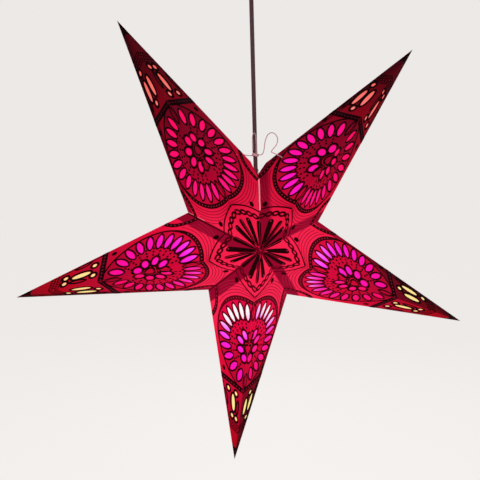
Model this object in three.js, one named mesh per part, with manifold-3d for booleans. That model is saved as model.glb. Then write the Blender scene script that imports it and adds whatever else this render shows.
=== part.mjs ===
// Paper star lantern: a folded five-armed star of die-cut card, lined with tissue, tied round the
// cord of a small pendant lamp. Millimetres, +Z up, the star faces -Y. The origin is the middle of
// the ceiling plate's top face, and everything hangs below it.
import * as THREE from 'three';
import { mergeVertices } from 'three/addons/utils/BufferGeometryUtils.js';
import Module from 'manifold-3d';

const wasm = await Module();
wasm.setup();

// Star
const armCount = 5;
const tipRadius = 315;
const valleyRadius = 90;
const halfDepth = 96;
const cardThickness = 0.5;
const tissueThickness = 0.2;
const seatGap = 0.3;
const foldGap = 0.3;
const tissueRidgeMargin = 2.4;
const tissueValleyMargin = 9;
const tissueSideMargin = 5;
const outletAlongValley = 15;
const outletAlongSide = 13;

// Cut windows, each in a card's own plane: u runs from the star's centre to the tip along the
// ridge, v runs from the ridge towards the valley. A place along the ridge is a share of its
// length, one across is a share of the half width there, and a ring's radius is a share of the
// valley corner's v
const heartCentreShare = 0.416;
const outerRingShare = 0.566;
const outerPetalCount = 11;
const outerFirstAngle = 14;
const outerLastAngle = 167;
const outerPetalLength = 21;
const outerPetalWidth = 7.6;
const printShift = 2.4;
const innerRingShare = 0.22;
const innerPetalCount = 4;
const innerFirstAngle = 20;
const innerLastAngle = 141;
const innerPetalLength = 12;
const innerPetalWidth = 9;
const slotLength = 26;
const slotWidth = 6.6;
const ovalLength = 6;
const ovalWidth = 5;
const tipWindowShares = {
  half1: { slots: [[0.729, 0.323], [0.729, 0.675]], ovals: [[0.799, 0.672], [0.671, 0.496]] },
  half2: {
    slots: [[0.72, 0.454]],
    ovals: [[0.788, 0.263], [0.788, 0.582], [0.665, 0.297], [0.67, 0.687]],
  },
};

// How the star hangs: it leans about its front-to-back line, and the whole pendant hangs a little
// off plumb, so that its weight lies under the ceiling pivot
const starRoll = 6.1;
const hangLean = 1;
const seamOffset = 2.7;

// Ceiling plate, cover and cord grip
const plateLength = 72;
const plateWidth = 16;
const plateThickness = 1.6;
const plateSlotSpacing = 50;
const plateSlotWidth = 5;
const plateSlotLength = 9;
const coverRadius = 44;
const coverHeight = 36;
const coverWall = 1.4;
const coverCornerRadius = 12;
const coverSides = 24;
const ceilingGap = 0.3;
const screwHeadRadius = 4.2;
const screwHeadHeight = 2.6;
const screwSlotWidth = 1.2;
const screwSlotDepth = 1.1;
const terminalLength = 22;
const terminalWidth = 12;
const terminalHeight = 11;
const terminalScrewRadius = 2;
const terminalWellDepth = 3;
const ballRadius = 5.2;
const socketLip = 3.9;
const gripRadius = 7.6;
const gripFlangeRadius = 11;
const gripFlangeThickness = 3;
const gripNoseLength = 13.9;
const gripRise = 6;
const leadDiameter = 2.2;
const leadSpacing = 5;

// Cord and tie
const cordDiameter = 5.4;
const seamBelowGrip = 214;
const holderBelowSeam = 22;
const knotAboveSeam = 18;
const knotHeight = 4.6;
const knotWall = 2.2;
const stringDiameter = 1.3;
const stringHoleDiameter = 3;
const stringHoleAlongSide = 32;
const stringHoleInset = 12;
const stopperDiameter = 4.4;
const bowLoopHeight = 27;
const bowLoopShares = [[0.1, 0.5], [0.5, 1], [0.9, 0.5]];

// Lampholder and bulb
const holderRadius = 14;
const holderWall = 1.6;
const holderCapHeight = 14;
const shoulderAngle = 58;
const bossRadius = 5;
const bossHeight = 5;
const skirtLength = 36;
const skirtTaper = 0.8;
const ringOuterRadius = 17.5;
const ringHeight = 6;
const ringDrop = 20;
const insertHeight = 11;
const insertBoreRadius = 4;
const tongueWidth = 5;
const tongueThickness = 0.6;
const tongueDrop = 2.6;
const bulbRadius = 22.5;
const bulbWall = 1;
const neckRadius = 6.2;
const screwCapRadius = 6.9;
const screwCapLength = 17;
const screwCapWall = 0.5;
const threadCount = 5;
const threadDepth = 0.6;
const contactRadius = 3;
const contactHeight = 2.4;
const bulbDrop = 27;
const filamentCount = 4;
const filamentLength = 22;
const filamentRadius = 0.9;
const stemRadius = 2.4;
const stemLength = 18;
const flareHeight = 2;

// Facets
const roundSides = 14;
const cornerSteps = 3;
const ballSteps = 6;
const cordSides = 8;
const cordSteps = 6;
const stringSides = 6;
const stringSteps = 12;

const degree = Math.PI / 180;
const toPoints = (table) => table.map(([a, b]) => new THREE.Vector2(a, b));
const hairline = seatGap / 1000;

const finish = (color, roughness, metalness = 0) =>
  new THREE.MeshStandardMaterial({ color, roughness, metalness });
const finishes = {
  card: finish(0xc8102e, 0.62),
  tissue: finish(0xffa070, 0.8),
  white: finish(0xf2f0ea, 0.45),
  steel: finish(0xc4c6c9, 0.35, 0.9),
  brass: finish(0xc9a24a, 0.3, 0.9),
  cord: finish(0x2a0d14, 0.6),
  string: finish(0xe6c9bd, 0.85),
  glass: finish(0xfff3dc, 0.15),
  ceramic: finish(0xe9e6dd, 0.4),
  glow: finish(0xffd28a, 0.4),
  copper: finish(0x9c5b2e, 0.4, 0.6),
};

function named(name, geometry, material) {
  const mesh = new THREE.Mesh(geometry, material);
  mesh.name = name;
  return mesh;
}

// Solids join and cut through manifold-3d
function solidOf(geometry) {
  const bare = geometry.clone();
  bare.deleteAttribute('normal');
  bare.deleteAttribute('uv');
  const merged = mergeVertices(bare, hairline);
  const index = merged.index.array;
  const kept = [];
  for (let i = 0; i < index.length; i += 3) {
    const [a, b, c] = index.slice(i, i + 3);
    if (a !== b && b !== c && c !== a) kept.push(a, b, c);
  }
  return new wasm.Manifold(new wasm.Mesh({
    numProp: 3,
    vertProperties: new Float32Array(merged.attributes.position.array),
    triVerts: new Uint32Array(kept),
  }));
}

function geometryOf(solid) {
  const mesh = solid.getMesh();
  const geometry = new THREE.BufferGeometry();
  geometry.setAttribute('position', new THREE.BufferAttribute(mesh.vertProperties, 3));
  geometry.setIndex(new THREE.BufferAttribute(mesh.triVerts, 1));
  geometry.computeVertexNormals();
  return geometry;
}

const united = (...geometries) =>
  geometryOf(geometries.map(solidOf).reduce((all, next) => all.add(next)));
const carved = (geometry, ...cutters) =>
  geometryOf(cutters.map(solidOf).reduce((left, next) => left.subtract(next), solidOf(geometry)));

// A turned piece about the Z axis, from a profile of [radius, height] points
function turned(profile, sides = roundSides) {
  const points = toPoints(profile);
  if (THREE.ShapeUtils.area(points) < 0) points.reverse();
  const geometry = new THREE.LatheGeometry(points, sides);
  return geometryOf(solidOf(geometry.rotateX(Math.PI / 2)));
}

function arcProfile(centreR, centreZ, radius, from, to, steps) {
  const points = [];
  for (let i = 0; i <= steps; i++) {
    const angle = (from + ((to - from) * i) / steps) * degree;
    const r = Math.max(centreR + radius * Math.cos(angle), 0);
    points.push([r < hairline ? 0 : r, centreZ + radius * Math.sin(angle)]);
  }
  return points;
}

function rod(radius, low, high, sides = roundSides) {
  return new THREE.CylinderGeometry(radius, radius, high - low, sides)
    .rotateX(Math.PI / 2)
    .translate(0, 0, (low + high) / 2);
}

function tube(points, diameter, sides, steps) {
  const section = new THREE.Shape();
  for (let i = 0; i < sides; i++) {
    const angle = (2 * Math.PI * i) / sides;
    const x = (diameter / 2) * Math.cos(angle);
    const y = (diameter / 2) * Math.sin(angle);
    if (i === 0) section.moveTo(x, y);
    else section.lineTo(x, y);
  }
  const path = points.length === 2
    ? new THREE.LineCurve3(...points)
    : new THREE.CatmullRomCurve3(points);
  return new THREE.ExtrudeGeometry(section, { steps, extrudePath: path, bevelEnabled: false });
}

// Star skeleton: the front centre, the back centre, tips and valleys
const starPoint = (radius, angle) =>
  new THREE.Vector3(radius * Math.cos(angle * degree), 0, radius * Math.sin(angle * degree));
const armStep = 360 / armCount;
const seamAngle = 90;

// The outline of a card in its own plane: its ridge, its valley corner, its half width, and where
// the tie string goes through it at the seam
const ridgeLength = Math.hypot(tipRadius, halfDepth);
const halfArm = (armStep / 2) * degree;
const cornerU = (tipRadius * valleyRadius * Math.cos(halfArm) + halfDepth ** 2) / ridgeLength;
const cornerV = Math.sqrt(valleyRadius ** 2 + halfDepth ** 2 - cornerU ** 2);
const halfWidthAt = (u) => (cornerV * (ridgeLength - u)) / (ridgeLength - cornerU);
const alongSide = new THREE.Vector2(ridgeLength - cornerU, -cornerV).normalize();
const stringHole = new THREE.Vector2(cornerU, cornerV)
  .addScaledVector(alongSide, stringHoleAlongSide)
  .addScaledVector(new THREE.Vector2(alongSide.y, -alongSide.x), stringHoleInset);

const armNames = ['upper_right', 'right', 'bottom', 'left', 'upper_left'];

function pageOf(index) {
  const arm = Math.floor(index / 2);
  const tipAngle = seamAngle - armStep / 2 - armStep * arm;
  const valleyAngle = tipAngle + (index % 2 === 0 ? armStep / 2 : -armStep / 2);
  const half = `half${1 + (index % 2)}`;
  return {
    half,
    name: `${armNames[arm]}_arm_${half}`,
    tip: starPoint(tipRadius, tipAngle),
    valley: starPoint(valleyRadius, valleyAngle),
    atSeam: index === 0 || index === 2 * armCount - 1,
  };
}

// The plane of one card: u along the ridge, v towards the valley, and the way out of the star
function cardFrame(page, side) {
  const centre = new THREE.Vector3(0, side * halfDepth, 0);
  const u = page.tip.clone().sub(centre).normalize();
  const toValley = page.valley.clone().sub(centre);
  const v = toValley.clone().addScaledVector(u, -toValley.dot(u)).normalize();
  const out = u.clone().cross(v);
  const outSign = Math.sign(out.y) === side ? 1 : -1;
  return { centre, u, v, out, outSign };
}

const meet = (planes) => {
  const [a, b, c] = planes;
  const cross = b.normal.clone().cross(c.normal);
  const det = a.normal.dot(cross);
  return cross.multiplyScalar(-a.constant)
    .addScaledVector(c.normal.clone().cross(a.normal), -b.constant)
    .addScaledVector(a.normal.clone().cross(b.normal), -c.constant)
    .divideScalar(det);
};

// The mirror planes that a card is mitred to, each moved in by a margin
function edgePlanes(page, side, ridgeMargin, valleyMargin, sideMargin) {
  const planeThrough = (normal, margin) => {
    const inward = page.tip.clone().add(page.valley).add(new THREE.Vector3(0, side * halfDepth, 0));
    if (normal.dot(inward) < 0) normal.negate();
    return new THREE.Plane(normal, -margin);
  };
  const axis = new THREE.Vector3(0, 1, 0);
  return [
    planeThrough(page.tip.clone().cross(axis).normalize(), ridgeMargin),
    planeThrough(page.valley.clone().cross(axis).normalize(), valleyMargin),
    planeThrough(axis.clone().multiplyScalar(side), sideMargin),
  ];
}

// Corners of a sheet at one depth under the outer face, in the card's own u and v
function sheetOutline(page, side, depth, planes) {
  const frame = cardFrame(page, side);
  const out = frame.out.clone().multiplyScalar(frame.outSign);
  const face = new THREE.Plane().setFromNormalAndCoplanarPoint(
    out, frame.centre.clone().addScaledVector(out, -depth));
  const [ridge, valley, edge] = planes;
  const corners = [[ridge, valley], [ridge, edge], [edge, valley]].map(([a, b]) => {
    const point = meet([face, a, b]).sub(frame.centre);
    return new THREE.Vector2(point.dot(frame.u), point.dot(frame.v));
  });
  return corners;
}

// Cut one corner off, so that the sheet leaves room for the cord at the tied seam
function clipOutlet(corners, valleyCut, sideCut) {
  const [centre, tip, valley] = corners;
  const towards = (from, to, length) =>
    from.clone().add(to.clone().sub(from).setLength(length));
  return [centre, tip, towards(valley, tip, sideCut), towards(valley, centre, valleyCut)];
}

// Outlines of a window as shares of its length and its width
const petalShares = [[-0.5, 0], [-0.2, -0.48], [0.2, -0.48], [0.5, 0], [0.2, 0.48], [-0.2, 0.48]];
const ovalShares = [[-0.5, 0], [0, -0.5], [0.5, 0], [0, 0.5]];

function windowAt(u, v, angle, length, width, outlineShares) {
  const along = new THREE.Vector2(Math.cos(angle * degree), Math.sin(angle * degree));
  const across = new THREE.Vector2(-along.y, along.x);
  return outlineShares.map(([a, b]) =>
    new THREE.Vector2(u, v).addScaledVector(along, a * length).addScaledVector(across, b * width));
}

// Petals round the heart, petals round its middle, slots and ovals near the tip. The print is a
// little off the ridge, so the outer ring stands higher on one half than on the other
function windowOutlines(half) {
  const windows = [];
  const ring = (count, radiusShare, firstAngle, lastAngle, length, width, shift) => {
    const radius = radiusShare * cornerV;
    for (let i = 0; i < count; i++) {
      const angle = THREE.MathUtils.lerp(firstAngle, lastAngle, i / (count - 1));
      const u = heartCentreShare * ridgeLength + radius * Math.cos(angle * degree);
      const v = radius * Math.sin(angle * degree) + shift;
      windows.push(windowAt(u, v, angle, length, width, petalShares));
    }
  };
  ring(outerPetalCount, outerRingShare, outerFirstAngle, outerLastAngle,
    outerPetalLength, outerPetalWidth, half === 'half1' ? printShift : -printShift);
  ring(innerPetalCount, innerRingShare, innerFirstAngle, innerLastAngle,
    innerPetalLength, innerPetalWidth, 0);

  const towardsTip = (places, length, width, outlineShares) => {
    for (const [ridgeShare, widthShare] of places) {
      const u = ridgeShare * ridgeLength;
      const v = widthShare * halfWidthAt(u);
      const angle = -Math.atan2(v, ridgeLength - u) / degree;
      windows.push(windowAt(u, v, angle, length, width, outlineShares));
    }
  };
  towardsTip(tipWindowShares[half].slots, slotLength, slotWidth, petalShares);
  towardsTip(tipWindowShares[half].ovals, ovalLength, ovalWidth, ovalShares);
  return windows;
}

function stringHoleOutline(diameter) {
  return Array.from({ length: cordSides }, (_, i) => {
    const angle = (2 * Math.PI * i) / cordSides;
    return stringHole.clone().add(
      new THREE.Vector2(Math.cos(angle), Math.sin(angle)).multiplyScalar(diameter / 2));
  });
}

// A flat sheet between two outlines of as many corners: the outer face has the first outline, and
// the inner face the second, so that its edges are mitred to the neighbouring cards
function mitredSheet(outer, inner, thickness, outSign, holes) {
  const shape = new THREE.Shape(outer);
  shape.holes = holes.map((points) => new THREE.Path(points));
  const geometry = new THREE.ExtrudeGeometry(shape, { depth: thickness, bevelEnabled: false });
  geometry.translate(0, 0, outSign > 0 ? -thickness : 0);
  const position = geometry.attributes.position;
  const innerZ = outSign > 0 ? -thickness : thickness;
  for (let i = 0; i < position.count; i++) {
    if (Math.abs(position.getZ(i) - innerZ) > thickness / 2) continue;
    const k = outer.findIndex((p) =>
      Math.hypot(p.x - position.getX(i), p.y - position.getY(i)) < 10 * hairline);
    if (k >= 0) position.setXY(i, inner[k].x, inner[k].y);
  }
  return geometry;
}

function placeOnCard(mesh, frame, depth) {
  const basis = new THREE.Matrix4().makeBasis(frame.u, frame.v, frame.out);
  mesh.quaternion.setFromRotationMatrix(basis);
  mesh.position.copy(frame.centre).addScaledVector(frame.out, -depth * frame.outSign);
  return mesh;
}

const sides = { front: -1, back: 1 };

function card(page, sideName) {
  const side = sides[sideName];
  const frame = cardFrame(page, side);
  const planes = edgePlanes(page, side, foldGap / 2, foldGap / 2, foldGap / 2);
  let outer = sheetOutline(page, side, 0, planes);
  let inner = sheetOutline(page, side, cardThickness, planes);
  const holes = windowOutlines(page.half);
  if (page.atSeam) {
    outer = clipOutlet(outer, outletAlongValley, outletAlongSide);
    inner = clipOutlet(inner, outletAlongValley, outletAlongSide);
    holes.push(stringHoleOutline(stringHoleDiameter));
  }
  const sheet = mitredSheet(outer, inner, cardThickness, frame.outSign, holes);
  return placeOnCard(named(`${page.name}_${sideName}_card`, sheet, finishes.card), frame, 0);
}

function tissue(page, sideName) {
  const side = sides[sideName];
  const frame = cardFrame(page, side);
  const planes = edgePlanes(page, side, tissueRidgeMargin, tissueValleyMargin, tissueSideMargin);
  const depth = cardThickness + seatGap;
  const holes = [];
  let outline = sheetOutline(page, side, depth, planes);
  if (page.atSeam) {
    outline = clipOutlet(outline, outletAlongValley, outletAlongSide);
    holes.push(stringHoleOutline(stopperDiameter + 2 * seatGap));
  }
  const sheet = mitredSheet(outline, outline, tissueThickness, frame.outSign, holes);
  return placeOnCard(named(`${page.name}_${sideName}_tissue`, sheet, finishes.tissue), frame, depth);
}

function starBody() {
  const star = new THREE.Group();
  for (let i = 0; i < 2 * armCount; i++) {
    const page = pageOf(i);
    for (const sideName of Object.keys(sides)) {
      star.add(card(page, sideName), tissue(page, sideName));
    }
  }
  return star;
}

// Heights along the hanging cord, below the ceiling pivot
const pivotHeight = -(coverHeight + gripNoseLength - socketLip);
const gripEnd = -socketLip;
const seamHeight = gripEnd - seamBelowGrip;
const holderTop = seamHeight - holderBelowSeam;
const cordTop = -(ballRadius + seatGap);
const knotMiddle = seamHeight + knotAboveSeam;

const rollAngle = starRoll * degree;
const starUp = new THREE.Vector3(Math.sin(rollAngle), 0, Math.cos(rollAngle));
const starCentre = new THREE.Vector3(seamOffset, 0, seamHeight).addScaledVector(starUp, -valleyRadius);

// The string hole of a seam card, lifted off its outer face, in the pendant's own frame
function onSeamCard(pageIndex, sideName, lift) {
  const frame = cardFrame(pageOf(pageIndex), sides[sideName]);
  return frame.centre.clone()
    .addScaledVector(frame.u, stringHole.x)
    .addScaledVector(frame.v, stringHole.y)
    .addScaledVector(frame.out, frame.outSign * lift)
    .applyAxisAngle(new THREE.Vector3(0, 1, 0), rollAngle)
    .add(starCentre);
}

const knotRadius = cordDiameter / 2 + seatGap + knotWall;

// Each string runs from beside the knot, through its hole, to a stopper bead behind the card
function tieString(pageIndex, sideName, start, waypoints) {
  const beadDepth = cardThickness + seatGap + stopperDiameter / 2;
  const above = onSeamCard(pageIndex, sideName, 2 * stringDiameter);
  const below = onSeamCard(pageIndex, sideName, -beadDepth);
  const bead = new THREE.SphereGeometry(stopperDiameter / 2, cordSides, stringSides)
    .translate(below.x, below.y, below.z);
  const through = onSeamCard(pageIndex, sideName, 0);
  return united(tube([start, ...waypoints, above, through, below], stringDiameter, stringSides,
    stringSteps), bead);
}

function tie() {
  const group = new THREE.Group();
  const inner = cordDiameter / 2 + seatGap;
  const low = knotMiddle - knotHeight / 2;
  const high = knotMiddle + knotHeight / 2;
  const waist = knotHeight / 4;
  group.add(named('tie_knot', turned([
    [inner, low], [knotRadius - waist, low], [knotRadius, low + waist], [knotRadius, high - waist],
    [knotRadius - waist, high], [inner, high], [inner, low],
  ]), finishes.string));
  const reach = knotRadius + seatGap + stringDiameter / 2;
  const leftStart = new THREE.Vector3(-reach, 0, knotMiddle);
  const rightStart = new THREE.Vector3(reach, 0, knotMiddle);
  group.add(named('tie_string_left', tieString(2 * armCount - 1, 'back', leftStart, []),
    finishes.string));
  const hole = onSeamCard(0, 'front', 2 * stringDiameter);
  const loop = bowLoopShares.map(([along, rise]) =>
    rightStart.clone().lerp(hole, along).setZ(knotMiddle + bowLoopHeight * rise));
  group.add(named('tie_string_right', tieString(0, 'front', rightStart, loop), finishes.string));
  return group;
}

function ceilingFitting() {
  const group = new THREE.Group();
  const slotAt = (x) => new THREE.BoxGeometry(plateSlotLength, plateSlotWidth, 3 * plateThickness)
    .translate(x, 0, 0);
  const plate = new THREE.BoxGeometry(plateLength, plateWidth, plateThickness)
    .translate(0, 0, -plateThickness / 2);
  const slotX = plateSlotSpacing / 2;
  group.add(named('ceiling_plate', carved(plate, slotAt(slotX), slotAt(-slotX)), finishes.steel));

  const headTop = -plateThickness - seatGap;
  const headLow = headTop - screwHeadHeight;
  const screw = (x) => united(
    carved(rod(screwHeadRadius, headLow, headTop),
      new THREE.BoxGeometry(3 * screwHeadRadius, screwSlotWidth, 2 * screwSlotDepth)
        .translate(0, 0, headLow)),
    rod(plateSlotWidth / 2 - seatGap, headTop - screwSlotDepth, -ceilingGap),
  ).translate(x, 0, 0);
  group.add(named('plate_screw_left', screw(-slotX), finishes.steel));
  group.add(named('plate_screw_right', screw(slotX), finishes.steel));

  const blockTop = headTop;
  const blockLow = blockTop - terminalHeight;
  const wellAt = (x) => rod(terminalScrewRadius, blockLow - seatGap, blockLow + terminalWellDepth, cordSides)
    .translate(x, terminalWidth / 4, 0);
  const block = new THREE.BoxGeometry(terminalLength, terminalWidth, terminalHeight)
    .translate(0, 0, (blockTop + blockLow) / 2);
  group.add(named('terminal_block', carved(block, wellAt(leadSpacing), wellAt(-leadSpacing)),
    finishes.ceramic));

  const low = -coverHeight;
  const holeRadius = gripRadius + seatGap;
  const outerCorner = arcProfile(coverRadius - coverCornerRadius, low + coverCornerRadius,
    coverCornerRadius, -90, 0, cornerSteps);
  const innerCorner = arcProfile(coverRadius - coverCornerRadius, low + coverCornerRadius,
    coverCornerRadius - coverWall, 0, -90, cornerSteps);
  group.add(named('ceiling_cover', turned([
    [holeRadius, low], ...outerCorner, [coverRadius, -ceilingGap],
    [coverRadius - coverWall, -ceilingGap], ...innerCorner, [holeRadius, low + coverWall],
    [holeRadius, low],
  ], coverSides), finishes.white));

  const flangeLow = low + coverWall + seatGap;
  const flangeTop = flangeLow + gripFlangeThickness;
  const socket = ballRadius + seatGap;
  const lipAngle = Math.asin(socketLip / socket) / degree;
  group.add(named('cord_grip', turned([
    ...arcProfile(0, pivotHeight, socket, -lipAngle, 0, cornerSteps),
    [socket, flangeTop + gripRise], [gripRadius, flangeTop + gripRise], [gripRadius, flangeTop],
    [gripFlangeRadius, flangeTop], [gripFlangeRadius, flangeLow], [gripRadius, flangeLow],
    [gripRadius, pivotHeight - socketLip + coverWall],
    [gripRadius - coverWall, pivotHeight - socketLip],
    [socket * Math.cos(lipAngle * degree), pivotHeight - socketLip],
  ]), finishes.white));

  const leadLow = pivotHeight + ballRadius + seatGap;
  const leads = [-1, 1].map((sign) => tube([
    new THREE.Vector3((sign * leadDiameter) / 3, 0, leadLow),
    new THREE.Vector3(sign * leadSpacing / 2, 0, (leadLow + blockLow) / 2),
    new THREE.Vector3(sign * leadSpacing, 0, blockLow - seatGap),
  ], leadDiameter, stringSides, stringSteps / 2));
  group.add(named('supply_leads', united(...leads), finishes.copper));
  return group;
}

function lampholder() {
  const group = new THREE.Group();
  const top = holderTop - seatGap;
  const capLow = top - bossHeight - holderCapHeight;
  const shoulder = arcProfile(0, capLow + seatGap, holderRadius, shoulderAngle, 0, cornerSteps);
  const innerShoulder = arcProfile(0, capLow + seatGap, holderRadius - holderWall, 0,
    shoulderAngle, cornerSteps);
  group.add(named('lampholder_cap', turned([
    [0, top], [bossRadius, top], [bossRadius, top - bossHeight], ...shoulder,
    ...innerShoulder, [0, capLow + holderCapHeight - 2 * holderWall],
  ]), finishes.white));

  const skirtTop = capLow;
  const skirtLow = skirtTop - skirtLength;
  const lowRadius = holderRadius - skirtTaper;
  group.add(named('lampholder_skirt', turned([
    [holderRadius, skirtTop], [lowRadius, skirtLow], [lowRadius - holderWall, skirtLow],
    [holderRadius - holderWall, skirtTop], [holderRadius, skirtTop],
  ]), finishes.white));

  const ringTop = skirtTop - ringDrop;
  const ringInner = holderRadius + seatGap - skirtTaper * (ringDrop / skirtLength);
  group.add(named('shade_ring', turned([
    [ringInner, ringTop], [ringOuterRadius - holderWall, ringTop], [ringOuterRadius, ringTop - ringHeight],
    [ringInner, ringTop - ringHeight], [ringInner, ringTop],
  ]), finishes.white));

  const insertRadius = holderRadius - skirtTaper - holderWall - seatGap;
  const insertTop = skirtTop - 2 * seatGap;
  const insertLow = insertTop - insertHeight;
  group.add(named('holder_insert', turned([
    [insertBoreRadius, insertTop], [insertRadius, insertTop], [insertRadius, insertLow],
    [insertBoreRadius, insertLow], [insertBoreRadius, insertTop],
  ]), finishes.ceramic));

  const tongueTop = insertLow - seatGap;
  group.add(named('centre_contact', united(
    new THREE.BoxGeometry(2 * insertRadius - holderWall, tongueWidth, tongueThickness)
      .translate(0, 0, tongueTop - tongueThickness / 2),
    new THREE.BoxGeometry(tongueWidth, tongueWidth, tongueDrop)
      .translate(0, 0, tongueTop - tongueDrop / 2),
  ), finishes.brass));
  group.add(bulb(tongueTop - tongueDrop - seatGap));
  return group;
}

function bulb(top) {
  const group = new THREE.Group();
  const shellTop = top - contactHeight;
  const shellLow = shellTop - screwCapLength;
  const pitch = screwCapLength / (threadCount + 1);
  const outside = [];
  for (let i = 0; i < threadCount; i++) {
    const z = shellTop - pitch * (i + 1);
    outside.push([screwCapRadius - threadDepth, z + pitch / 2], [screwCapRadius, z]);
  }
  const inside = screwCapRadius - threadDepth - screwCapWall;
  group.add(named('bulb_screw_cap', turned([
    [0, top], [contactRadius - contactHeight / 2, top], [contactRadius, shellTop], ...outside,
    [screwCapRadius, shellLow], [inside, shellLow], [inside, shellTop - 2 * screwCapWall], [0, shellTop - 2 * screwCapWall],
  ]), finishes.brass));

  const neckTop = shellLow - seatGap;
  const ballMiddle = neckTop - bulbDrop;
  const neckAngle = 90 - Math.asin(neckRadius / bulbRadius) / degree;
  const innerRadius = bulbRadius - bulbWall;
  const innerNeck = neckRadius - bulbWall;
  const innerAngle = 90 - Math.asin(innerNeck / innerRadius) / degree;
  group.add(named('bulb_glass', turned([
    [neckRadius, neckTop], ...arcProfile(0, ballMiddle, bulbRadius, neckAngle, -90, ballSteps),
    ...arcProfile(0, ballMiddle, innerRadius, -90, innerAngle, ballSteps), [innerNeck, neckTop],
    [neckRadius, neckTop],
  ]), finishes.glass));

  const stemTop = neckTop + seatGap;
  const stem = rod(stemRadius, stemTop - stemLength, stemTop, cordSides);
  const flare = rod(innerNeck - seatGap, stemTop - flareHeight, stemTop);
  const strips = Array.from({ length: filamentCount }, (_, i) => {
    const angle = (2 * Math.PI * i) / filamentCount;
    const strip = rod(filamentRadius, stemTop - stemLength - filamentLength + 4 * filamentRadius,
      stemTop - stemLength + 2 * filamentRadius, stringSides);
    return strip.translate(stemRadius * Math.cos(angle), stemRadius * Math.sin(angle), 0);
  });
  group.add(named('bulb_filament', united(stem, flare, ...strips), finishes.glow));
  return group;
}

function lantern() {
  const object = new THREE.Group();
  object.add(ceilingFitting());

  const pendant = new THREE.Group();
  pendant.position.z = pivotHeight;
  pendant.rotation.y = -hangLean * degree;
  object.add(pendant);

  const ball = new THREE.SphereGeometry(ballRadius, roundSides, roundSides / 2).rotateX(Math.PI / 2);
  pendant.add(named('cord_ball', ball, finishes.white));
  const cordEnds = [new THREE.Vector3(0, 0, cordTop), new THREE.Vector3(0, 0, holderTop)];
  pendant.add(named('pendant_cord', tube(cordEnds, cordDiameter, cordSides, cordSteps), finishes.cord));
  pendant.add(lampholder(), tie());

  const star = starBody();
  star.position.copy(starCentre);
  star.rotation.y = rollAngle;
  pendant.add(star);
  return object;
}

export default lantern();
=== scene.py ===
"""Looks for the paper star lantern: printed and cut card, lit tissue, tie, pendant and stage.

Lengths in tables and shapes are millimetres, and angles are degrees. Distances in materials and
places in the scene are metres.
"""

import math

import bpy
from bpy.props import FloatProperty, FloatVectorProperty, IntProperty, PointerProperty
from mathutils import Matrix, Vector


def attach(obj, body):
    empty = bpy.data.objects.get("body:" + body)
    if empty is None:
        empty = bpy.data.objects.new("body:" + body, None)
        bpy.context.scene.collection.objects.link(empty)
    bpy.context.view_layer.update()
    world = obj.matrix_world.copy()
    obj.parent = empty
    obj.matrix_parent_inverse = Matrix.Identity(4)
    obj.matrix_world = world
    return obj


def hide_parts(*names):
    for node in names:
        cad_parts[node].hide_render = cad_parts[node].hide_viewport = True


bl_info = {
    "name": "Paper Star Lantern",
    "version": (1, 0, 0),
    "blender": (4, 5, 0),
    "location": "3D View > Sidebar > Paper Star",
    "description": "Builds the lit paper star, its lamp and its ceiling fitting on a packed model",
    "category": "Object",
}

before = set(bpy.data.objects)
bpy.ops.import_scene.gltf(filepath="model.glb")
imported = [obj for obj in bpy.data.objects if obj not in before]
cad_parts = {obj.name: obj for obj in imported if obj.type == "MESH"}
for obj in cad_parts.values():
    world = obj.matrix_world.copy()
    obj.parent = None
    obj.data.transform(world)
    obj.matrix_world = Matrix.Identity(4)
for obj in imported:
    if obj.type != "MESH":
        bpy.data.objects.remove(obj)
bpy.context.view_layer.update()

MM = 0.001
ARMS = ("upper_right", "right", "bottom", "left", "upper_left")
FIRST_TIP_ANGLE = 54
BETWEEN_TIPS = 72
SEAM_PAGES = ("upper_right_arm_half1", "upper_left_arm_half2")

# The pendant hangs from its pivot a little off the plumb line
PENDANT_LEAN = math.radians(1.0)
PIVOT = Vector((0.0, 0.0, -0.046))
TO_METRES = Matrix.Scale(MM, 4)
PENDANT = Matrix.Translation(PIVOT) @ Matrix.Rotation(-PENDANT_LEAN, 4, "Y") @ TO_METRES

# One card in its own plane, in millimetres: u runs from the front centre to the tip along the
# ridge, v runs from the ridge to the valley
CARD_OUTER = ((0.0, 0.0), (329.3, 0.0), (97.64, 88.22))
CARD_INNER = ((0.25, 0.67), (326.57, 0.67), (97.0, 88.09))
TISSUE_OUTLINE = ((17.2, 1.8), (312.7, 1.8), (104.8, 80.94))
OUTLET_ALONG_VALLEY = 15.0
OUTLET_ALONG_SIDE = 13.0
STRING_HOLE = (123.27, 65.62)
STRING_HOLE_SIZE = 3.0
TISSUE_HOLE_SIZE = 5.0

# The print is a little off the ridge, so it stands higher on one half than on the other. Its
# lines are drawn past the ridge and the edges, and then cut back to the card by the margin
PRINT_SHIFT = {"half1": 2.4, "half2": -2.4}
PRINT_MARGIN = 0.25
LINE_HEIGHT = 0.08

# How high the print's layers lie over the card's face, from and to
FIELD_LAYER = (-0.05, 0.02)
SHAPE_LAYER = (-0.05, 0.09)
BEAD_LAYER = (0.1, 0.36)
VALLEY_LINE_HEIGHT = 0.12

# How pointed the ends of a petal are
POINTED, ROUND, BLUNT = 1.3, 1.0, 0.9

# Two rings of petals stand round the heart's middle: how many, radius, first and last angle
HEART_CENTRE = 137.0
OUTER_RING = (11, 49.93, 14.0, 167.0)
INNER_RING = (4, 19.41, 20.0, 141.0)

# Length, width and ends of the outer petals, and how many degrees the middle ones of them
# stand towards the star's centre
OUTER_PETAL = (21.0, 7.6, POINTED)
RING_CROWDING = {"half1": 0.0, "half2": 5.5}

# Length, width and ends of the inner petals, how far they are shifted across, and the least
# that a petal's middle stays from the ridge
INNER_PETALS = {"half1": (12.0, 9.0, BLUNT, 0.0), "half2": (11.0, 8.2, BLUNT, -3.4)}
LEAST_FROM_RIDGE = 5.6

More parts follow.
